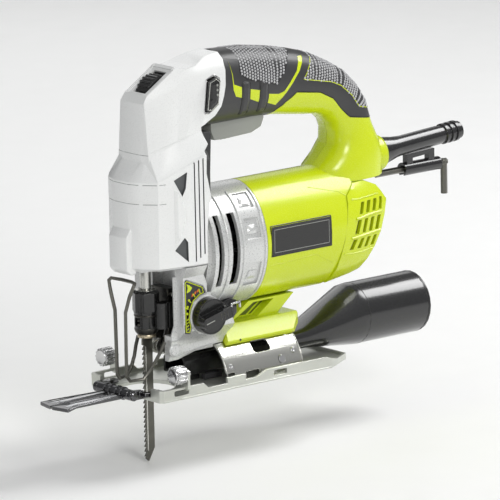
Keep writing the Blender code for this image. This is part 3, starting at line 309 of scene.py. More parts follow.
class Skin:
    """The surface of CAD nodes, in millimetres, seen from one of VIEWS."""

    def __init__(self, *names):
        points, faces = [], []
        for name in names:
            start = len(points)
            points += [v.co / MM for v in NODES[name].data.vertices]
            faces += [tuple(start + i for i in p.vertices) for p in NODES[name].data.polygons]
        self.tree = BVHTree.FromPolygons(points, faces)
        self.body = BODY_OF[names[0]]

    def land(self, view, a, b):
        """Where a ray meets the surface, and the ray's direction."""
        start, direction = VIEWS[view](a, b)
        place = self.tree.ray_cast(start, direction)[0]
        if place is None:
            near = self.tree.find_nearest(start + direction * MISS_DEPTH)[0]
            place = start + direction * (near - start).dot(direction)
        return place, direction


def piece(name, points, faces, look, body):
    """A mesh object from millimetre points, kept under the CAD box's top, riding on a body."""
    mesh = bpy.data.meshes.new(name)
    top = CAD_BOX[1].z / MM
    mesh.from_pydata([Vector((x, y, min(z, top))) * MM for x, y, z in points], [], faces)
    bm = bmesh.new()
    bm.from_mesh(mesh)
    bmesh.ops.recalc_face_normals(bm, faces=bm.faces)
    bm.to_mesh(mesh)
    bm.free()
    mesh.materials.append(look.material)
    obj = bpy.data.objects.new(name, mesh)
    bpy.context.scene.collection.objects.link(obj)
    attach(obj, body)
    return obj


def resampled(points, spacing, closed=True):
    """Points at an even spacing along a line, in two or three dimensions."""
    out = []
    pairs = list(zip(points, points[1:] + points[:1])) if closed else list(zip(points, points[1:]))
    for first, second in pairs:
        first, second = Vector(first), Vector(second)
        count = max(1, round((second - first).length / spacing))
        out += [first.lerp(second, k / count) for k in range(count)]
    if not closed:
        out.append(Vector(points[-1]))
    return out


def rounded_corners(outline, radius, count=3):
    """The outline with its corners cut to arcs."""
    out = []
    for before, corner, after in zip(outline[-1:] + outline[:-1], outline, outline[1:] + outline[:1]):
        before, corner, after = Vector(before), Vector(corner), Vector(after)
        reach = min(radius, (before - corner).length * 0.45, (after - corner).length * 0.45)
        start = corner + (before - corner).normalized() * reach
        end = corner + (after - corner).normalized() * reach
        for k in range(count + 1):
            t = k / count
            out.append((1 - t) ** 2 * start + 2 * t * (1 - t) * corner + t * t * end)
    return [tuple(p) for p in out]


def inside(point, outline):
    """Whether a point lies inside an outline, by counting crossings."""
    odd = False
    for (ax, ay), (bx, by) in zip(outline, outline[1:] + outline[:1]):
        if (ay > point[1]) != (by > point[1]) and point[0] < (bx - ax) * (point[1] - ay) / (by - ay) + ax:
            odd = not odd
    return odd


def patch(name, skin, view, outline, look, proud=0.35, sink=0.6, spacing=2.0, chamfer=0.2):
    """A plate of even thickness that follows the surface under its outline."""
    edge = resampled([tuple(p) for p in outline], spacing)
    loop = [tuple(p) for p in edge]
    low = [min(p[k] for p in loop) for k in (0, 1)]
    high = [max(p[k] for p in loop) for k in (0, 1)]
    grid = []
    for i in range(1, int((high[0] - low[0]) / spacing) + 1):
        for j in range(1, int((high[1] - low[1]) / spacing) + 1):
            point = Vector((low[0] + spacing * i, low[1] + spacing * j))
            if inside(point, loop) and min((point - e).length for e in edge) > spacing * 0.6:
                grid.append(point)
    points, _, faces, *_ = delaunay_2d_cdt(edge + grid, [], [list(range(len(edge)))], 1, OUTLINE_GAP)
    counts = {}
    for face in faces:
        for pair in zip(face, list(face[1:]) + [face[0]]):
            key = tuple(sorted(pair))
            counts[key] = counts.get(key, 0) + 1
    rim = [key for key, shared in counts.items() if shared == 1]
    on_rim = {k for key in rim for k in key}
    above, below = [], []
    for k, (a, b) in enumerate(points):
        place, direction = skin.land(view, a, b)
        above.append(place - direction * (proud - (chamfer if k in on_rim else 0)))
        below.append(place + direction * sink)
    count = len(points)
    sides = [(a, b, b + count, a + count) for a, b in rim]
    shells = [tuple(f) for f in faces] + [tuple(k + count for k in reversed(f)) for f in faces]
    return piece(name, above + below, shells + sides, look, skin.body)


def carve(node, name, view, outline, depth, look=None, spacing=2.5, reach=8.0):
    """A pocket of even depth cut into a CAD node, by a hidden cutter."""
    skin = Skin(node)
    cutter = patch(name, skin, view, outline, look or LOOKS[SLOT_OF[node]], reach, depth, spacing, 0.0)
    subtract(node, cutter)


def subtract(node, cutter):
    """Cuts a hidden object out of a CAD node."""
    cutter.hide_render = True
    cutter.display_type = "WIRE"
    modifier = NODES[node].modifiers.new(cutter.name, "BOOLEAN")
    modifier.operation = "DIFFERENCE"
    modifier.solver = "EXACT"
    modifier.material_mode = "TRANSFER"
    modifier.object = cutter


def tube(name, path, radius, look, body, sides=8, closed=False):
    """A round bead along a path of millimetre points."""
    path = [Vector(p) for p in path]
    points, faces = [], []
    count = len(path)
    across = None
    for k, place in enumerate(path):
        after = path[(k + 1) % count] if closed or k < count - 1 else place
        before = path[k - 1] if closed or k > 0 else place
        along = (after - before).normalized()
        if across is None:
            across = along.orthogonal().normalized()
        across = (across - along * across.dot(along)).normalized()
        other = along.cross(across)
        for j in range(sides):
            turn = 2 * math.pi * j / sides
            points.append(place + across * radius * math.cos(turn) + other * radius * math.sin(turn))
    last = count if closed else count - 1
    for k in range(last):
        for j in range(sides):
            a, b = k * sides + j, k * sides + (j + 1) % sides
            c, d = ((k + 1) % count) * sides + (j + 1) % sides, ((k + 1) % count) * sides + j
            faces.append((a, b, c, d))
    if not closed:
        faces += [tuple(range(sides)), tuple(range((count - 1) * sides, count * sides))]
    return smooth(piece(name, points, faces, look, body), 50)


def bead(name, skin, view, line, radius, look, closed=False, lift=0.0):
    """A bead laid along a line on the surface."""
    path = []
    for a, b in resampled([tuple(p) for p in line], BEAD_STEP, closed):
        place, direction = skin.land(view, a, b)
        path.append(place - direction * lift)
    return tube(name, path, radius, look, skin.body, 6, closed)


def lathe(name, profile, start, axis, look, body, sides=32, degrees=35):
    """A closed profile of (radius, distance) turned about an axis."""
    axis = Vector(axis).normalized()
    across = axis.orthogonal().normalized()
    other = axis.cross(across)
    points, faces = [], []
    count = len(profile)
    for k in range(sides):
        turn = 2 * math.pi * k / sides
        outward = across * math.cos(turn) + other * math.sin(turn)
        points += [Vector(start) + outward * r + axis * d for r, d in profile]
    for k in range(sides):
        after = (k + 1) % sides
        for j in range(count):
            nxt = (j + 1) % count
            faces.append((k * count + j, k * count + nxt, after * count + nxt, after * count + j))
    obj = piece(name, points, faces, look, body)
    bm = bmesh.new()
    bm.from_mesh(obj.data)
    bmesh.ops.remove_doubles(bm, verts=bm.verts, dist=SAME_POINT)
    bmesh.ops.recalc_face_normals(bm, faces=bm.faces)
    bm.to_mesh(obj.data)
    bm.free()
    return smooth(obj, degrees)


def prism(name, outline, plane, low, high, look, body, chamfer=0.3):
    """An outline pushed through from low to high, with chamfered edges."""
    order = {"XZ": (0, 2, 1), "YZ": (1, 2, 0), "XY": (0, 1, 2)}[plane]
    points = []
    for level in (low, high):
        for a, b in outline:
            point = [0, 0, 0]
            point[order[0]], point[order[1]], point[order[2]] = a, b, level
            points.append(Vector(point))
    count = len(outline)
    faces = [tuple(range(count)), tuple(range(count, 2 * count))]
    faces += [(k, (k + 1) % count, (k + 1) % count + count, k + count) for k in range(count)]
    obj = piece(name, points, faces, look, body)
    if chamfer:
        modifier = obj.modifiers.new("chamfer", "BEVEL")
        modifier.width = chamfer * MM
        modifier.segments = 2
        modifier.angle_limit = math.radians(40)
    return smooth(obj, 35)


def ring_of(centre, radius, count):
    """Points evenly round a circle in a view."""
    return [(centre[0] + radius * math.cos(2 * math.pi * k / count),
             centre[1] + radius * math.sin(2 * math.pi * k / count)) for k in range(count)]


# ---------------------------------------------------------------- handle

SIDES = (("left", -1), ("right", 1))
FRONT_DOTS = [(57.7, 230), (57.7, 207.8), (51.6, 203.4), (47.5, 196.4), (39.8, 188.7), (15.3, 195.2),
              (9.6, 199.8), (10.8, 207.3), (10.8, 230)]
REAR_DOTS = [(73.9, 230), (73.9, 202), (68.5, 195.6), (62.9, 188.6), (87, 183.6), (95.2, 180.1),
             (104.7, 172.2), (110.5, 164.1), (123.3, 161.1), (140, 161.1), (140, 230)]
STRIPES = {
    "front": [(2.3, 207.9), (3.7, 193.4), (10.1, 190.9), (10.5, 183.8), (5.3, 185.3), (3.1, 189.8)],
    "square": [(17.7, 188.5), (25.8, 186.7), (25, 178.9), (17.5, 182)],
    "rear": [(33.4, 183.2), (41.5, 182), (46.2, 183.1), (57.3, 195.1), (62.1, 203.4), (66.7, 203.2),
             (59.6, 194.7), (48.6, 182.7), (40.2, 174.7), (33.2, 177.1)],
}


def grip_trim():
    """Lime inlays, the ribs between them and the pinstripes round the textured fields."""
    for side, _ in SIDES:
        skin = Skin(f"grip_{side}")
        for label, outline in STRIPES.items():
            patch(f"stripe_{label}_{side}", skin, side, outline, LOOKS["lime_plastic"], 0.25, 0.6, 1.6,
                  0.12)
        for k, x in enumerate((11.2, 26.4)):
            rib = [(x, 194.5 - k * 2), (x + 5.6, 193.4 - k * 2), (x + 5.9, 178), (x + 5.0, 171.5),
                   (x - 0.6, 171.5), (x - 0.8, 178)]
            patch(f"finger_rib_{k}_{side}", skin, side, rounded_corners(rib, 1.6), LOOKS["soft_grip"],
                  1.0, 0.6, 1.5, 0.7)
            for j, edge in enumerate((x - 0.9, x + 6.1)):
                bead(f"rib_shadow_{k}_{j}_{side}", skin, side, [(edge, 193), (edge, 172.5)], 0.3,
                     LOOKS["carbon"], lift=-0.1)
        lines = {"rear_dots": REAR_DOTS[1:9], "front_dots": FRONT_DOTS[1:8]}
        for label, line in lines.items():
            look = LOOKS["lime_plastic"] if label == "rear_dots" else LOOKS["carbon"]
            bead(f"pinstripe_{label}_{side}", skin, side, line, 0.34, look, lift=-0.05)
        bead(f"grip_edge_{side}", Skin(f"housing_{side}", f"grip_{side}"), side,
             [(40, 168.6), (49, 176.2), (57, 181.4), (77, 178.4), (88.2, 172.8), (96.2, 164.2),
              (102, 158.6), (125, 154.8)], 0.3, LOOKS["carbon"], lift=-0.15)


def grip_dots():
    """Raised dots over the top of both grip halves, in staggered rows, pale grey as a painted highlight."""
    skin = Skin("grip_left", "grip_right")
    centre_line = [(6, 192), (40, 190), (72, 183), (92, 176), (106, 165), (112, 152)]
    row_gap, turn_gap, sides = 2.3, 5.6, 6
    stations = resampled(centre_line, row_gap, closed=False)
    points, faces = [], []
    for k, place in enumerate(stations):
        after = stations[min(k + 1, len(stations) - 1)]
        before = stations[max(k - 1, 0)]
        along = (after - before).normalized()
        upward = Vector((-along.y, 0, along.x))
        start = Vector((place.x, 0, place.y))
        for j in range(-20, 21):
            turn = math.radians(turn_gap * (j + 0.5 * (k % 2)))
            outward = upward * math.cos(turn) + Vector((0, math.sin(turn), 0))
            spot, normal, *_ = skin.tree.ray_cast(start + outward * 60, -outward)
            if spot is None or abs(spot.y) < 1.2:
                continue
            here = (spot.x, spot.z)
            if not (inside(here, FRONT_DOTS) or inside(here, REAR_DOTS)):
                continue
            across = normal.orthogonal().normalized()
            other = normal.cross(across)
            base = len(points)
            for radius, lift in ((0.95, -0.1), (0.7, 0.34)):
                for corner in range(sides):
                    a = math.radians(360 / sides * corner)
                    sideways = across * math.cos(a) + other * math.sin(a)
                    points.append(spot + sideways * radius + normal * lift)
            points.append(spot + normal * 0.46)
            for t in range(sides):
                n = (t + 1) % sides
                faces.append((base + t, base + n, base + sides + n, base + sides + t))
                faces.append((base + sides + t, base + sides + n, base + 2 * sides))
            faces.append(tuple(base + t for t in reversed(range(sides))))
    # The dots' pale grey is a painted highlight
    smooth(piece("grip_dots", points, faces, LOOKS["grip_dot_highlight"], "housing"), 60)


# ---------------------------------------------------------------- front cover

BUTTON_EDGE = [(-22, 178.9), (-18, 178.4), (-10.9, 183), (-8.8, 198.8), (-12.6, 201.4), (-18.9, 199.2)]


def cover_detail():
    """Grooves, notches and a bulge on each flank, crease lines, and the lock button's face and frame."""
    cover = Skin("front_cover")
    # The recess grey is painted shade on the groove and notch floors; the thin dark lines use it too
    dark = LOOKS["recess"]
    silver = LOOKS["silver_paint"]
    for side, _ in SIDES:
        for k, x in enumerate((-39.6, -36.2, -32.8)):
            groove = [(x - 0.45, 86 + 2 * k), (x + 0.45, 86 + 2 * k), (x + 0.45, 150.6 + k),
                      (x - 0.45, 150 + k)]
            carve("front_cover", f"cover_groove_{k}_{side}", side, groove, 0.9, dark, 6.0)
        for label, outline in (("upper", [(-54.6, 140.4), (-45.2, 145), (-46.4, 134.5), (-48.8, 129.5)]),
                               ("lower", [(-54.8, 95), (-47.8, 102.6), (-45.6, 99.5), (-45.4, 86.5)])):
            carve("front_cover", f"cover_notch_{label}_{side}", side, outline, 1.9, dark, 3.0)
        bulge = [(-54.6, 137.4), (-49.4, 129), (-47.2, 122), (-47.0, 114), (-49.4, 104.4), (-54.6, 96.4)]
        patch(f"cover_bulge_{side}", cover, side, bulge, silver, 1.5, 0.8, 1.6, 1.4)
        for label, line in (("shoulder", [(-63, 141.5), (-45, 148.6), (-31, 154.2)]),
                            ("neck", [(-63.6, 157.5), (-45, 163.2), (-31, 167)])):
            bead(f"cover_crease_{label}_{side}", cover, side, line, 0.28, silver, lift=-0.12)
        for k, z in enumerate((138.5, 126.0)):
            bead(f"cover_line_{k}_{side}", cover, side, [(-72, z), (-60, z)], 0.26, dark, lift=-0.2)
    for k, z in enumerate((138.5, 126.0, 156.2)):
        bead(f"cover_front_line_{k}", cover, "front", [(-15, z), (15, z)], 0.26, dark, lift=-0.2)
    middle = (-15.5, 190.0)

    def scaled(by_x, by_z):
        return [(middle[0] + (x - middle[0]) * by_x, middle[1] + (z - middle[1]) * by_z)
                for x, z in BUTTON_EDGE]

    bead("button_frame", cover, "left", scaled(1.07, 1.06), 0.45, LOOKS["chrome"], True, lift=0.05)
    button = Skin("lock_button")
    patch("button_face", button, "left", scaled(0.62, 0.74), LOOKS["black_plastic"], 0.5, 0.4, 1.5, 0.4)
    bead("button_rim", button, "left", scaled(0.78, 0.85), 0.3, LOOKS["brushed_steel"], True)
    for k in range(3):
        at = button.land("left", -12.9, 195.8 - 3.2 * k)[0]
        lathe(f"button_dot_{k}", [(ON_AXIS, 0), (0.9, 0), (0.7, 0.8), (ON_AXIS, 0.95)], at, (0, -1, 0),
              LOOKS["grey_plastic"], "lock", 12)


def wheel_frame():
    """Pale frame round the speed wheel."""
    skin = Skin("front_cover")
    along, middle = Vector((0.844, 0.536)), Vector((-49.3, 202.0))
    low, high = middle - along * 13.6, middle + along * 13.6
    frame_line = [(low.x, -9.6), (high.x, -9.6), (high.x, 9.6), (low.x, 9.6)]
    bead("wheel_frame", skin, "top", frame_line, 0.5, LOOKS["silver_paint"], True)


# ---------------------------------------------------------------- gear case and barrel

def case_detail():
    """Pockets with wedges on the gear case's flanks, and three raised rims round it."""
    for side, _ in SIDES:
        pockets = (("top", [(1.5, 113), (13.5, 113), (13.5, 121.5), (1.5, 121.5)]),
                   ("middle", [(1.5, 94), (13.5, 94), (13.5, 107), (1.5, 107)]),
                   ("low", [(1.5, 63), (13.5, 63), (13.5, 78), (1.5, 78)]))
        for label, outline in pockets:
            carve("gear_case", f"case_pocket_{label}_{side}", side, outline, 1.5, None, 3.0, 6.0)
            x0, z0 = 7.5, (outline[0][1] + outline[2][1]) / 2
            wedge = [(x0 - 4.4, z0 - 3.4), (x0 + 4.4, z0 - 3.4), (x0 + 2.6, z0 + 2.2), (x0 - 2.6, z0 + 2.2)]
            patch(f"case_wedge_{label}_{side}", Skin("gear_case"), side, wedge, LOOKS["cast_metal"], -0.4,
                  2.2, 1.8, 0.7)
    for label, x, lift in (("rear", 16.4, 0.35), ("mid", -1.4, 0.3), ("front", -13.8, 0.3)):
        path = []
        for k in range(72):
            a = 2 * math.pi * k / 72
            path.append((x, (BARREL_RY + lift * 0.2) * math.cos(a),
                         MOTOR_Z + (BARREL_RZ + lift * 0.2) * math.sin(a)))
        path = [p for p in path if p[2] < 124]
        # The rim is open at the top, so its path starts after that gap
        start = max(range(len(path)), key=lambda k: (Vector(path[k]) - Vector(path[k - 1])).length)
        path = path[start:] + path[:start]
        tube(f"case_rim_{label}", path, 0.75, LOOKS["cast_metal"], "housing", 8, False)


def barrel_detail():
    """Frame and line of the blank badge, crease lines, and ribs, dark sheets of painted shade and edges at
    the cap's vents.
    """
    skin = Skin("badge_plate", "housing_left")
    corners = [(21.6, 79.6), (72.4, 79.6), (72.4, 99.4), (21.6, 99.4)]
    bead("badge_frame", skin, "left", corners, 0.35, LOOKS["black_plastic"], True)
    inner = [(24, 82), (70, 82), (70, 97), (24, 97)]
    bead("badge_line", Skin("badge_plate"), "left", inner, 0.22, LOOKS["grey_plastic"], True)
    for side, side_sign in SIDES:
        housing = Skin(f"housing_{side}")
        bead(f"barrel_crease_low_{side}", housing, side, [(22, 73.5), (60, 75.5), (76, 67)], 0.35,
             LOOKS["lime_plastic"], lift=-0.1)
        bead(f"barrel_crease_top_{side}", housing, side, [(62, 118), (84, 112.5), (89, 109.5)], 0.35,
             LOOKS["lime_plastic"], lift=-0.1)
        cap = Skin("rear_cap")
        for k, line in enumerate(([(94, 93.6), (105, 94.6), (121, 94.8)],
                                  [(89.5, 81.2), (100, 82), (117.5, 82.6)])):
            bead(f"vent_rib_{k}_{side}", cap, side, line, 0.9, LOOKS["lime_plastic"], lift=0.1)
        # A dark sheet inside the cap behind the vents, painted shade in the openings
        shade_sheet = [(90, 25.0), (98, 24.7), (111, 21.4), (111, 20.4), (98, 23.7), (90, 24.0)]
        prism(f"vent_shade_sheet_{side}", [(x, side_sign * y) for x, y in shade_sheet], "XY", 71, 105, LOOKS["carbon"],
              "housing", 0)
        for k, line in enumerate(([(92, 106.5), (97, 106), (119, 106)],
                                  [(84, 71.5), (92, 70.8), (112, 71.2)])):
            bead(f"vent_edge_{k}_{side}", cap, side, line, 0.5, LOOKS["lime_plastic"], lift=0.0)


# ---------------------------------------------------------------- foot, knob and label

def foot_detail():
    """Seat ring round the knob, the dial label's border and marks, and the foot's boss and chamfers."""
    foot = Skin("gear_foot")
    ring = ring_of(KNOB, 12.1, 40)
    bead("knob_seat_ring", foot, "left", ring, 0.9, LOOKS["cast_metal"], True, 0.1)
    label = Skin("dial_label")
    lime = LOOKS["lime_plastic"]
    edge = [(-46.3, 40.2), (-43.5, 39.6), (-42.4, 42.8), (-43.7, 48), (-42.8, 54.1), (-40, 59.7),
            (-35, 63.1), (-31.6, 63.9), (-32.4, 67.5), (-45.1, 73.2), (-46.3, 72.2)]
    bead("label_border", label, "left", edge, 0.34, lime, True, 0.1)
    for k in range(4):
        angle = math.radians(106 + 17 * k)
        reach = [(KNOB[0] + q * math.cos(angle), KNOB[1] + q * math.sin(angle)) for q in (15.6, 18.6)]
        bead(f"label_tick_{k}", label, "left", reach, 0.45, lime, lift=0.1)
    for k in range(4):
        reach = [(-45.6, 41.4 + 2.1 * k), (-44.0, 42.3 + 2.1 * k)]
        bead(f"label_bar_{k}", label, "left", reach, 0.35, lime, lift=0.1)
    for k, (x, z) in enumerate(((-45, 52), (-44.6, 56.4), (-43.4, 60.6))):
        patch(f"label_mark_{k}", label, "left", ring_of((x, z), 0.8, 10), lime, 0.25, 0.3, 0.8, 0.0)
    for k, (x, z) in enumerate(((-40.4, 63.2), (-38.2, 64.4), (-36.0, 65.4))):
        dash = [(x - 0.9, z - 0.7), (x + 0.5, z - 0.2), (x + 0.9, z + 1.5), (x - 0.5, z + 1.0)]
        patch(f"label_dash_{k}", label, "left", dash, LOOKS["label_orange"], 0.25, 0.3, 0.8, 0.0)
    leaf = [(-45.2, 65.6), (-42.6, 66.2), (-40.6, 68.4), (-42.8, 70.4), (-45.2, 71.4), (-44.2, 68.6)]
    patch("label_leaf", label, "left", leaf, lime, 0.25, 0.3, 0.8, 0.0)
    boss = foot.land("left", -49.5, 27.5)[0]
    lathe("foot_boss_cap", [(ON_AXIS, 0.5), (3.4, 0.5), (4.2, -0.2), (4.2, -1.0), (ON_AXIS, -1.0)], boss,
          (0, -1, 0), LOOKS["cast_metal"], "housing", 24)
    bead("foot_chamfer_low", foot, "left", [(-51.5, 24), (-45, 22), (-33, 25.5), (-14, 27)], 0.5,
         LOOKS["cast_metal"], lift=-0.1)
    bead("foot_chamfer_front", foot, "left", [(-47.4, 74), (-47.4, 45)], 0.5, LOOKS["cast_metal"],
         lift=-0.1)


def knob_detail():
    """Pointer line, edge and finger grooves of the knob."""
    turn = math.radians(-14)

    def across(u, w):
        return (KNOB[0] + u * math.cos(turn) - w * math.sin(turn),
                KNOB[1] - u * math.sin(turn) - w * math.cos(turn))

    skin = Skin("pendulum_knob")
    bead("knob_pointer", skin, "left", [across(-11, 0), across(-4, 0)], 0.4, LOOKS["grey_plastic"])
    bead("knob_edge", skin, "left", ring_of(KNOB, 11.1, 36), 0.35, LOOKS["black_plastic"], True, 0.0)
    for k in range(3):
        line = [across(2 + 2.6 * k, -2.2), across(2 + 2.6 * k, 2.2)]
        bead(f"knob_groove_{k}", skin, "left", line, 0.28, LOOKS["dark_steel"], lift=-0.05)


# ---------------------------------------------------------------- chuck and blade

def chuck_detail():
    """Facets, rings and pins of the chuck, the rod's sleeve and lines across the release lever."""
    def ring(name, profile, finish, slot, sides=28, degrees=35):
        lathe(name, profile, (PLUNGER_X, 0, 0), (0, 0, 1), LOOKS[finish], "plunger", sides, degrees)

    facets = [(ON_AXIS, 65.4), (7.8, 65.4), (8.75, 64.4), (8.75, 52.6), (8.1, 51.6), (ON_AXIS, 51.6)]
    collar = [(3.7, 65.6), (6.6, 65.6), (6.8, 66.2), (5.2, 66.8), (3.7, 66.8)]
    sleeve = [(3.3, 66.9), (3.62, 66.9), (3.62, 79.6), (3.3, 79.8)]
    waist = [(7.75, 50.2), (8.0, 49.9), (8.0, 49.2), (7.75, 48.9)]
    rim = [(6.3, 37.4), (7.3, 38.6), (7.9, 40.4), (7.9, 41.2), (7.5, 41.4), (6.3, 37.9)]
    lip = [(4.4, 34.9), (5.75, 34.9), (6.0, 35.5), (6.0, 36.6), (5.6, 37.3), (4.4, 37.3)]
    ring("chuck_facets", facets, "black_plastic", "black_plastic", 8, 20)
    ring("chuck_collar", collar, "brushed_steel", "brushed_steel")
    ring("rod_sleeve", sleeve, "brushed_steel", "brushed_steel")
    ring("chuck_waist", waist, "dark_steel", "dark_steel")
    ring("chuck_rim", rim, "dark_steel", "dark_steel")
    ring("clamp_ring_lip", lip, "tan_steel", "brushed_steel")
    for k, z in enumerate((44.2, 47.0)):
        start = Vector((PLUNGER_X - 7.9, -1.9, z))
        lathe(f"chuck_pin_{k}", [(ON_AXIS, 0.4), (0.7, 0.4), (0.9, 0.0), (0.9, -1.0), (ON_AXIS, -1.0)],
              start, (-1, -0.3, 0), LOOKS["dark_steel"], "plunger", 12)
    lever = Skin("release_lever")
    for k, z in enumerate((43.5, 56.0)):
        bead(f"lever_ring_{k}", lever, "left", [(-57.6, z), (-51.4, z)], 0.35, LOOKS["black_plastic"])


def blade_detail():
    """Narrow bright band down each face of the blade."""
    for side, face in (("left", -0.62), ("right", 0.62)):
        outline = [(-59.8, -40), (-59.8, 29), (-59.0, 29), (-59.0, -40)]
        points = [Vector((x, y, z)) for y in (face, face * 0.5) for x, z in outline]
        faces = [(0, 1, 2, 3), (4, 5, 6, 7), (0, 1, 5, 4), (1, 2, 6, 5), (2, 3, 7, 6), (3, 0, 4, 7)]
        smooth(piece(f"blade_band_{side}", points, faces, LOOKS["brushed_steel"], "plunger"))


# ---------------------------------------------------------------- front: guard, thumbscrews and line guide

def guide_detail():
    """Springs, caps and collars on the guide's pin; ribs, strips of painted reflection and edge wires on
    its prongs.
    """
    dark = LOOKS["black_chrome"]
    for side in (-1, 1):
        name = "left" if side < 0 else "right"
        path = []
        for k in range(12 * 5 + 1):
            turn = 2 * math.pi * k / 12
            path.append((PIN_X + 3.0 * math.cos(turn), side * (10.4 + 0.075 * k),
                         PIN_Z + 3.0 * math.sin(turn)))
        tube(f"guide_spring_{name}", path, 0.42, dark, "line_guide", 6, False)
        lathe(f"guide_cap_{name}", [(ON_AXIS, 0.8), (2.2, 0.8), (3.0, 0.2), (3.0, -0.4), (ON_AXIS, -0.4)],
              (PIN_X, side * 19.7, PIN_Z), (0, side, 0), dark, "sole", 20)
        for k, y in enumerate((2.4, 7.4)):
            lathe(f"guide_collar_{k}_{name}",
                  [(2.4, 0), (4.0, 0), (4.3, 0.4), (4.3, 1.4), (4.0, 1.8), (2.4, 1.8)],
                  (PIN_X, side * y, PIN_Z), (0, side, 0), dark, "line_guide", 24)
        for k, (near, far) in enumerate(((4.2, 2.4), (8.6, 9.0), (9.4, 12.6))):
            path = [(-87.5, side * near, 2.7), (-125, side * far, 2.7),
                    (-133, side * (far + (k - 0.5)), 2.2)]
            tube(f"guide_rib_{k}_{name}", resampled(path, 3.0, False), 0.45, dark, "line_guide", 6, False)
        # Pale strips on the prongs' upper faces, a painted reflection
        strip = [(-89, side * 5.0), (-124, side * 5.0), (-132, side * 8.2), (-123, side * 8.2),
                 (-89, side * 8.2)]
        patch(f"guide_reflection_strip_{name}", Skin("line_guide"), "top", strip, LOOKS["painted_reflection"], 0.25, 0.3,
              3.0, 0.1)
        tip = [(-126, side * 3.4, 2.5), (-135.4, side * 1.8, 1.0), (-133, side * 13.4, 1.0),
               (-124.6, side * 9.0, 2.5)]
        tube(f"guide_tip_{name}", resampled(tip, 2.5, False), 0.4, dark, "line_guide", 6, True)


def screw_detail():
    """Dished ends and raised bands on the thumbscrews."""
    for name, side in SIDES:
        low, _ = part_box(f"thumbscrew_{name}")
        y, z, front = side * SCREW_Y, SCREW_Z, low.x / MM
        lathe(f"screw_dish_{name}", [(ON_AXIS, 0.15), (2.6, 0.15), (4.6, 0.6), (5.2, 0.2), (5.2, -0.4),
                                     (ON_AXIS, -0.4)], (front, y, z), (-1, 0, 0), LOOKS["chrome"],
              f"screw_{name}", 28)
        for k, at in enumerate((0.9, 7.1)):
            lathe(f"screw_band_{k}_{name}", [(5.0, 0), (6.02, 0.15), (6.02, 0.75), (5.0, 0.9)],
                  (front + at - 0.45, y, z), (1, 0, 0), LOOKS["chrome"], f"screw_{name}", 28)


# ---------------------------------------------------------------- sole, saddle and bracket

def sole_detail():
    """Edge lines of the sole; the saddle's scale, screws, edges and hems; chute ribs and key block."""
    plate = Skin("sole_plate")
    saddle = Skin("saddle")
    for name, _ in SIDES:
        bead(f"sole_foot_edge_{name}", plate, name, [(-74, 0.8), (65, 0.8)], 0.55, LOOKS["sole_steel"],
             lift=-0.35)
        for k in range(7):
            z = 15.5 + 1.5 * (k % 2)
            line = [(-12 + 3.2 * k, z + 0.8), (-12 + 3.2 * k, 18.5)]
            if not 8 < -12 + 3.2 * k < 26:
                bead(f"saddle_scale_{k}_{name}", saddle, name, line, 0.16, LOOKS["dark_steel"], lift=-0.05)
        for k, (x, z) in enumerate(((-12, 12), (41, 14.5), (41, 24))):
            place = saddle.land(name, x, z)[0]
            outward = Vector((0, place.y, place.z)).normalized()
            lathe(f"saddle_screw_{k}_{name}", [(ON_AXIS, 0.3), (0.5, 0.3), (0.7, 0.55), (1.8, 0.5),
                  (2.1, 0.0), (ON_AXIS, -0.4)], place, outward, LOOKS["chrome"], "sole", 20)
        bead(f"saddle_edge_front_{name}", saddle, name, [(-16.6, 9), (-16.6, 27)], 0.4,
             LOOKS["brushed_steel"], lift=-0.1)
        bead(f"saddle_edge_rear_{name}", saddle, name, [(46.6, 4), (46.6, 27)], 0.4, LOOKS["brushed_steel"],
             lift=-0.1)
    for label, x in (("front", -16.4), ("rear", 46.4)):
        arc_path = [(x, -SADDLE_R * math.cos(a), SADDLE_R * math.sin(a)) for a in
                    (math.radians(8 + 164 * k / 30) for k in range(31))]
        tube(f"saddle_hem_{label}", arc_path, 0.5, LOOKS["brushed_steel"], "sole", 8,
             False)
    for k, (x, y) in enumerate(((-36, -3), (-36, 3))):
        prism(f"chute_rib_{k}", [(x, y - 0.5), (x + 46, y - 0.5), (x + 46, y + 0.5), (x, y + 0.5)], "XY",
              19.0, 20.2, LOOKS["black_plastic"], "sole", 0.2)
    prism("sole_key_block", [(-22, -14), (-8, -14), (-8, -10), (-22, -10)], "XY", 2.9, 6.5,
          LOOKS["carbon"], "sole", 0.4)


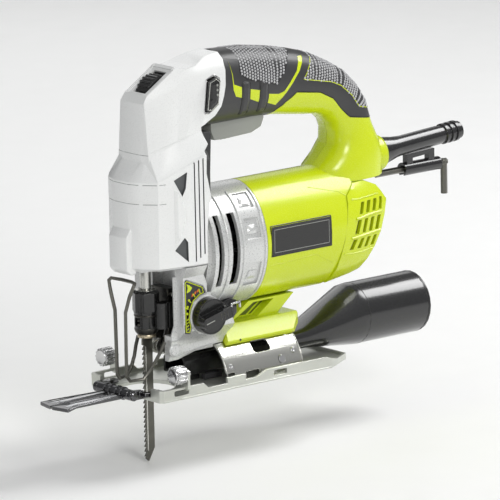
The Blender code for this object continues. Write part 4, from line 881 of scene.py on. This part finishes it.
def bracket_detail():
    """Foot line and ribs of the strut, its painted shadow patch, a mark, and the recess and clip behind the
    knob.
    """
    skin = Skin("tilt_bracket")
    lime = LOOKS["lime_plastic"]
    for name, _ in SIDES:
        bead(f"bracket_foot_{name}", skin, name, [(-8.6, 24.6), (46, 24.4)], 0.35, lime, lift=0.0)
        # A thin dark olive patch, painted as the shadow in the strut's hollow
        painted_shadow = [(8.5, 36.9), (26.5, 36.9), (39.5, 45.2), (25, 45.2)]
        patch(f"strut_painted_shadow_{name}", skin, name, painted_shadow, LOOKS["lime_painted_shadow"], 0.12, 0.3, 2.0, 0.0)
        for k in range(2):
            rib = [(14.5 + 8 * k, 36.6), (26.5 + 8 * k, 44.8)]
            bead(f"strut_rib_{k}_{name}", skin, name, rib, 0.55, lime, lift=0.2)
    notch = skin.land("left", 2.0, 26.5)[0]
    lathe("bracket_mark", [(ON_AXIS, 0.12), (0.8, 0.12), (0.9, -0.3), (ON_AXIS, -0.3)], notch, (0, -1, 0),
          LOOKS["carbon"], "housing", 10)
    black = LOOKS["black_plastic"]
    outline = [(-12, 53), (-9, 40), (-4, 39.6), (0.5, 45), (0.5, 53), (-5, 55)]
    prism("lock_recess", outline, "XZ", -20.5, -9.2, black, "housing", 0.6)
    clip = [(-5.2, -21.8, 46.6), (-5.2, -21.8, 51.6), (0.2, -21.8, 51.8), (1.8, -21.8, 52.6),
            (1.8, -21.8, 48.4)]
    tube("lock_clip", resampled(clip, 1.2, False), 0.75, LOOKS["chrome"], "housing", 8, False)
    tube("lock_clip_leg", [(-5.2, -21.8, 49.6), (-5.2, -19.0, 49.6)], 0.7, LOOKS["chrome"], "housing", 8,
         False)


# ---------------------------------------------------------------- rear: sleeve, key clip and adaptor

def rear_detail():
    """Seat ring and mouth of the cable sleeve, lips on the adaptor, and screws in the right half."""
    at = SLEEVE_FROM + Vector(SLEEVE_LEAN) * 10.2
    lathe("boss_rim", [(10.0, 0), (11.6, 0), (11.9, 0.5), (11.6, 1.0), (10.0, 1.0)],
          at - Vector(SLEEVE_LEAN) * 0.9, SLEEVE_LEAN,
          LOOKS["lime_plastic"], "housing", 40)
    end = SLEEVE_FROM + Vector(SLEEVE_LEAN) * 80.6
    lathe("sleeve_mouth", [(3.7, 0), (5.4, 0), (5.7, -0.5), (3.7, -0.5)], end, SLEEVE_LEAN, LOOKS["carbon"],
          "housing", 30)
    lathe("adaptor_lip", [(18.9, 0), (20.3, 0), (20.5, -0.6), (20.5, -1.8), (20.3, -2.2), (18.9, -2.2)],
          (165.9, 0, TUBE_Z), (1, 0, 0), LOOKS["rubber"], "adaptor", 48)
    lathe("adaptor_ring", [(20.2, 0), (20.48, 0.2), (20.48, 0.8), (20.2, 1.0)], (113.4, 0, TUBE_Z),
          (1, 0, 0), LOOKS["rubber"], "adaptor", 48)
    housing = Skin("housing_right", "rear_cap", "grip_right")
    for k, (x, z) in enumerate(((26, 103), (68, 112), (60, 66), (112, 146), (62, 170.5), (30, 71))):
        place = housing.land("right", x, z)[0]
        lathe(f"screw_well_{k}", [(3.0, 0.35), (3.9, 0.35), (4.2, 0.0), (4.2, -0.8), (3.0, -0.8)], place,
              (0, 1, 0), LOOKS["lime_plastic"], "housing", 28)
        lathe(f"housing_screw_{k}", [(ON_AXIS, -0.5), (1.1, -0.5), (1.3, 0.1), (2.6, 0.0), (2.9, -0.5),
                                     (2.9, -0.9), (ON_AXIS, -0.9)], place, (0, 1, 0), LOOKS["dark_steel"],
              "housing", 24)


def trigger_detail():
    """Finger ribs along the trigger's lower face."""
    for k in range(7):
        x = 2.0 + 3.2 * k
        z = 156.5 + 0.046 * (x - 4)
        tube(f"trigger_rib_{k}", [(x, -6.2, z), (x, 6.2, z)], 0.45, LOOKS["grey_plastic"], "trigger", 8,
             False)


# ---------------------------------------------------------------- camera, floor and light

def camera_and_light():
    """The photo's three-quarter view, four soft lamps and a graded world."""
    turn, rise, roll = math.radians(39.3), math.radians(12.3), math.radians(1.25)
    back = Vector((-math.sin(turn) * math.cos(rise), -math.cos(turn) * math.cos(rise), math.sin(rise)))
    right = Vector((math.cos(turn), -math.sin(turn), 0))
    up = back.cross(right)
    right_r = math.cos(roll) * right - math.sin(roll) * up
    up_r = math.sin(roll) * right + math.cos(roll) * up
    aim = Vector((0, 0, 90 * MM)) + (22.7 * right_r - 7.0 * up_r) * MM
    data = bpy.data.cameras.new("camera")
    camera = bpy.data.objects.new("camera", data)
    bpy.context.scene.collection.objects.link(camera)
    # All in metres but the film's width: seen is what the picture spans where it is aimed
    distance, film, seen = 4.0, 36, 0.3226
    camera.matrix_world = Matrix((right_r, up_r, back)).transposed().to_4x4()
    camera.location = aim + back * distance
    data.sensor_width = film
    data.lens = film * distance / seen
    data.clip_end = 20
    bpy.context.scene.camera = camera
    # Name, place, size in metres, watts and colour
    for name, place, size, power, colour in (
            ("key", (-0.5, -1.7, 1.0), 0.6, 12, (1, 0.99, 0.97)),
            ("front", (-1.9, -0.3, 0.5), 0.6, 1.5, (1, 1, 1)),
            ("right", (1.3, -0.3, 1.4), 1.0, 22, (1, 1, 1)),
            ("rim", (0.8, 1.4, 0.8), 1.2, 3, (1, 1, 1))):
        light = bpy.data.lights.new(name, "AREA")
        light.shape = "DISK"
        light.size = size
        light.energy = power
        light.color = colour
        lamp = bpy.data.objects.new(name, light)
        bpy.context.scene.collection.objects.link(lamp)
        lamp.location = place
        lamp.rotation_euler = (Vector((0.03, 0, 0.09)) - Vector(place)).to_track_quat("-Z", "Y").to_euler()
    bpy.context.scene.view_settings.view_transform = "Standard"
    world = bpy.data.worlds.new("studio")
    bpy.context.scene.world = world
    world.use_nodes = True
    tree = world.node_tree
    towards = tree.nodes.new("ShaderNodeVectorMath")
    towards.operation = "DOT_PRODUCT"
    towards.inputs[1].default_value = Vector((-0.42, -0.62, 0.66)).normalized()
    tree.links.new(tree.nodes.new("ShaderNodeTexCoord").outputs["Generated"], towards.inputs[0])
    strength = tree.nodes.new("ShaderNodeMapRange")
    for key, number in (("From Min", -0.5), ("From Max", 0.95), ("To Min", 0.14), ("To Max", 0.58)):
        strength.inputs[key].default_value = number
    tree.links.new(towards.outputs["Value"], strength.inputs["Value"])
    background = tree.nodes["Background"]
    background.inputs[0].default_value = (0.98, 0.99, 1.0, 1)
    tree.links.new(strength.outputs[0], background.inputs[1])


def floor():
    """A wide pale plane under the tool."""
    mesh = bpy.data.meshes.new("floor")
    size, height = 6.0, UNDERSIDE * MM
    mesh.from_pydata([(-size, -size, height), (size, -size, height), (size, size, height),
                      (-size, size, height)], [], [(0, 1, 2, 3)])
    obj = bpy.data.objects.new("floor", mesh)
    bpy.context.scene.collection.objects.link(obj)
    mesh.materials.append(LOOKS["floor"].material)


dress_nodes()
grip_trim()
grip_dots()
cover_detail()
wheel_frame()
case_detail()
barrel_detail()
dress_guide_and_rubber()
foot_detail()
knob_detail()
chuck_detail()
blade_detail()
guide_detail()
screw_detail()
sole_detail()
bracket_detail()
rear_detail()
trigger_detail()
for node in NODES.values():
    smooth(node)
camera_and_light()
floor()
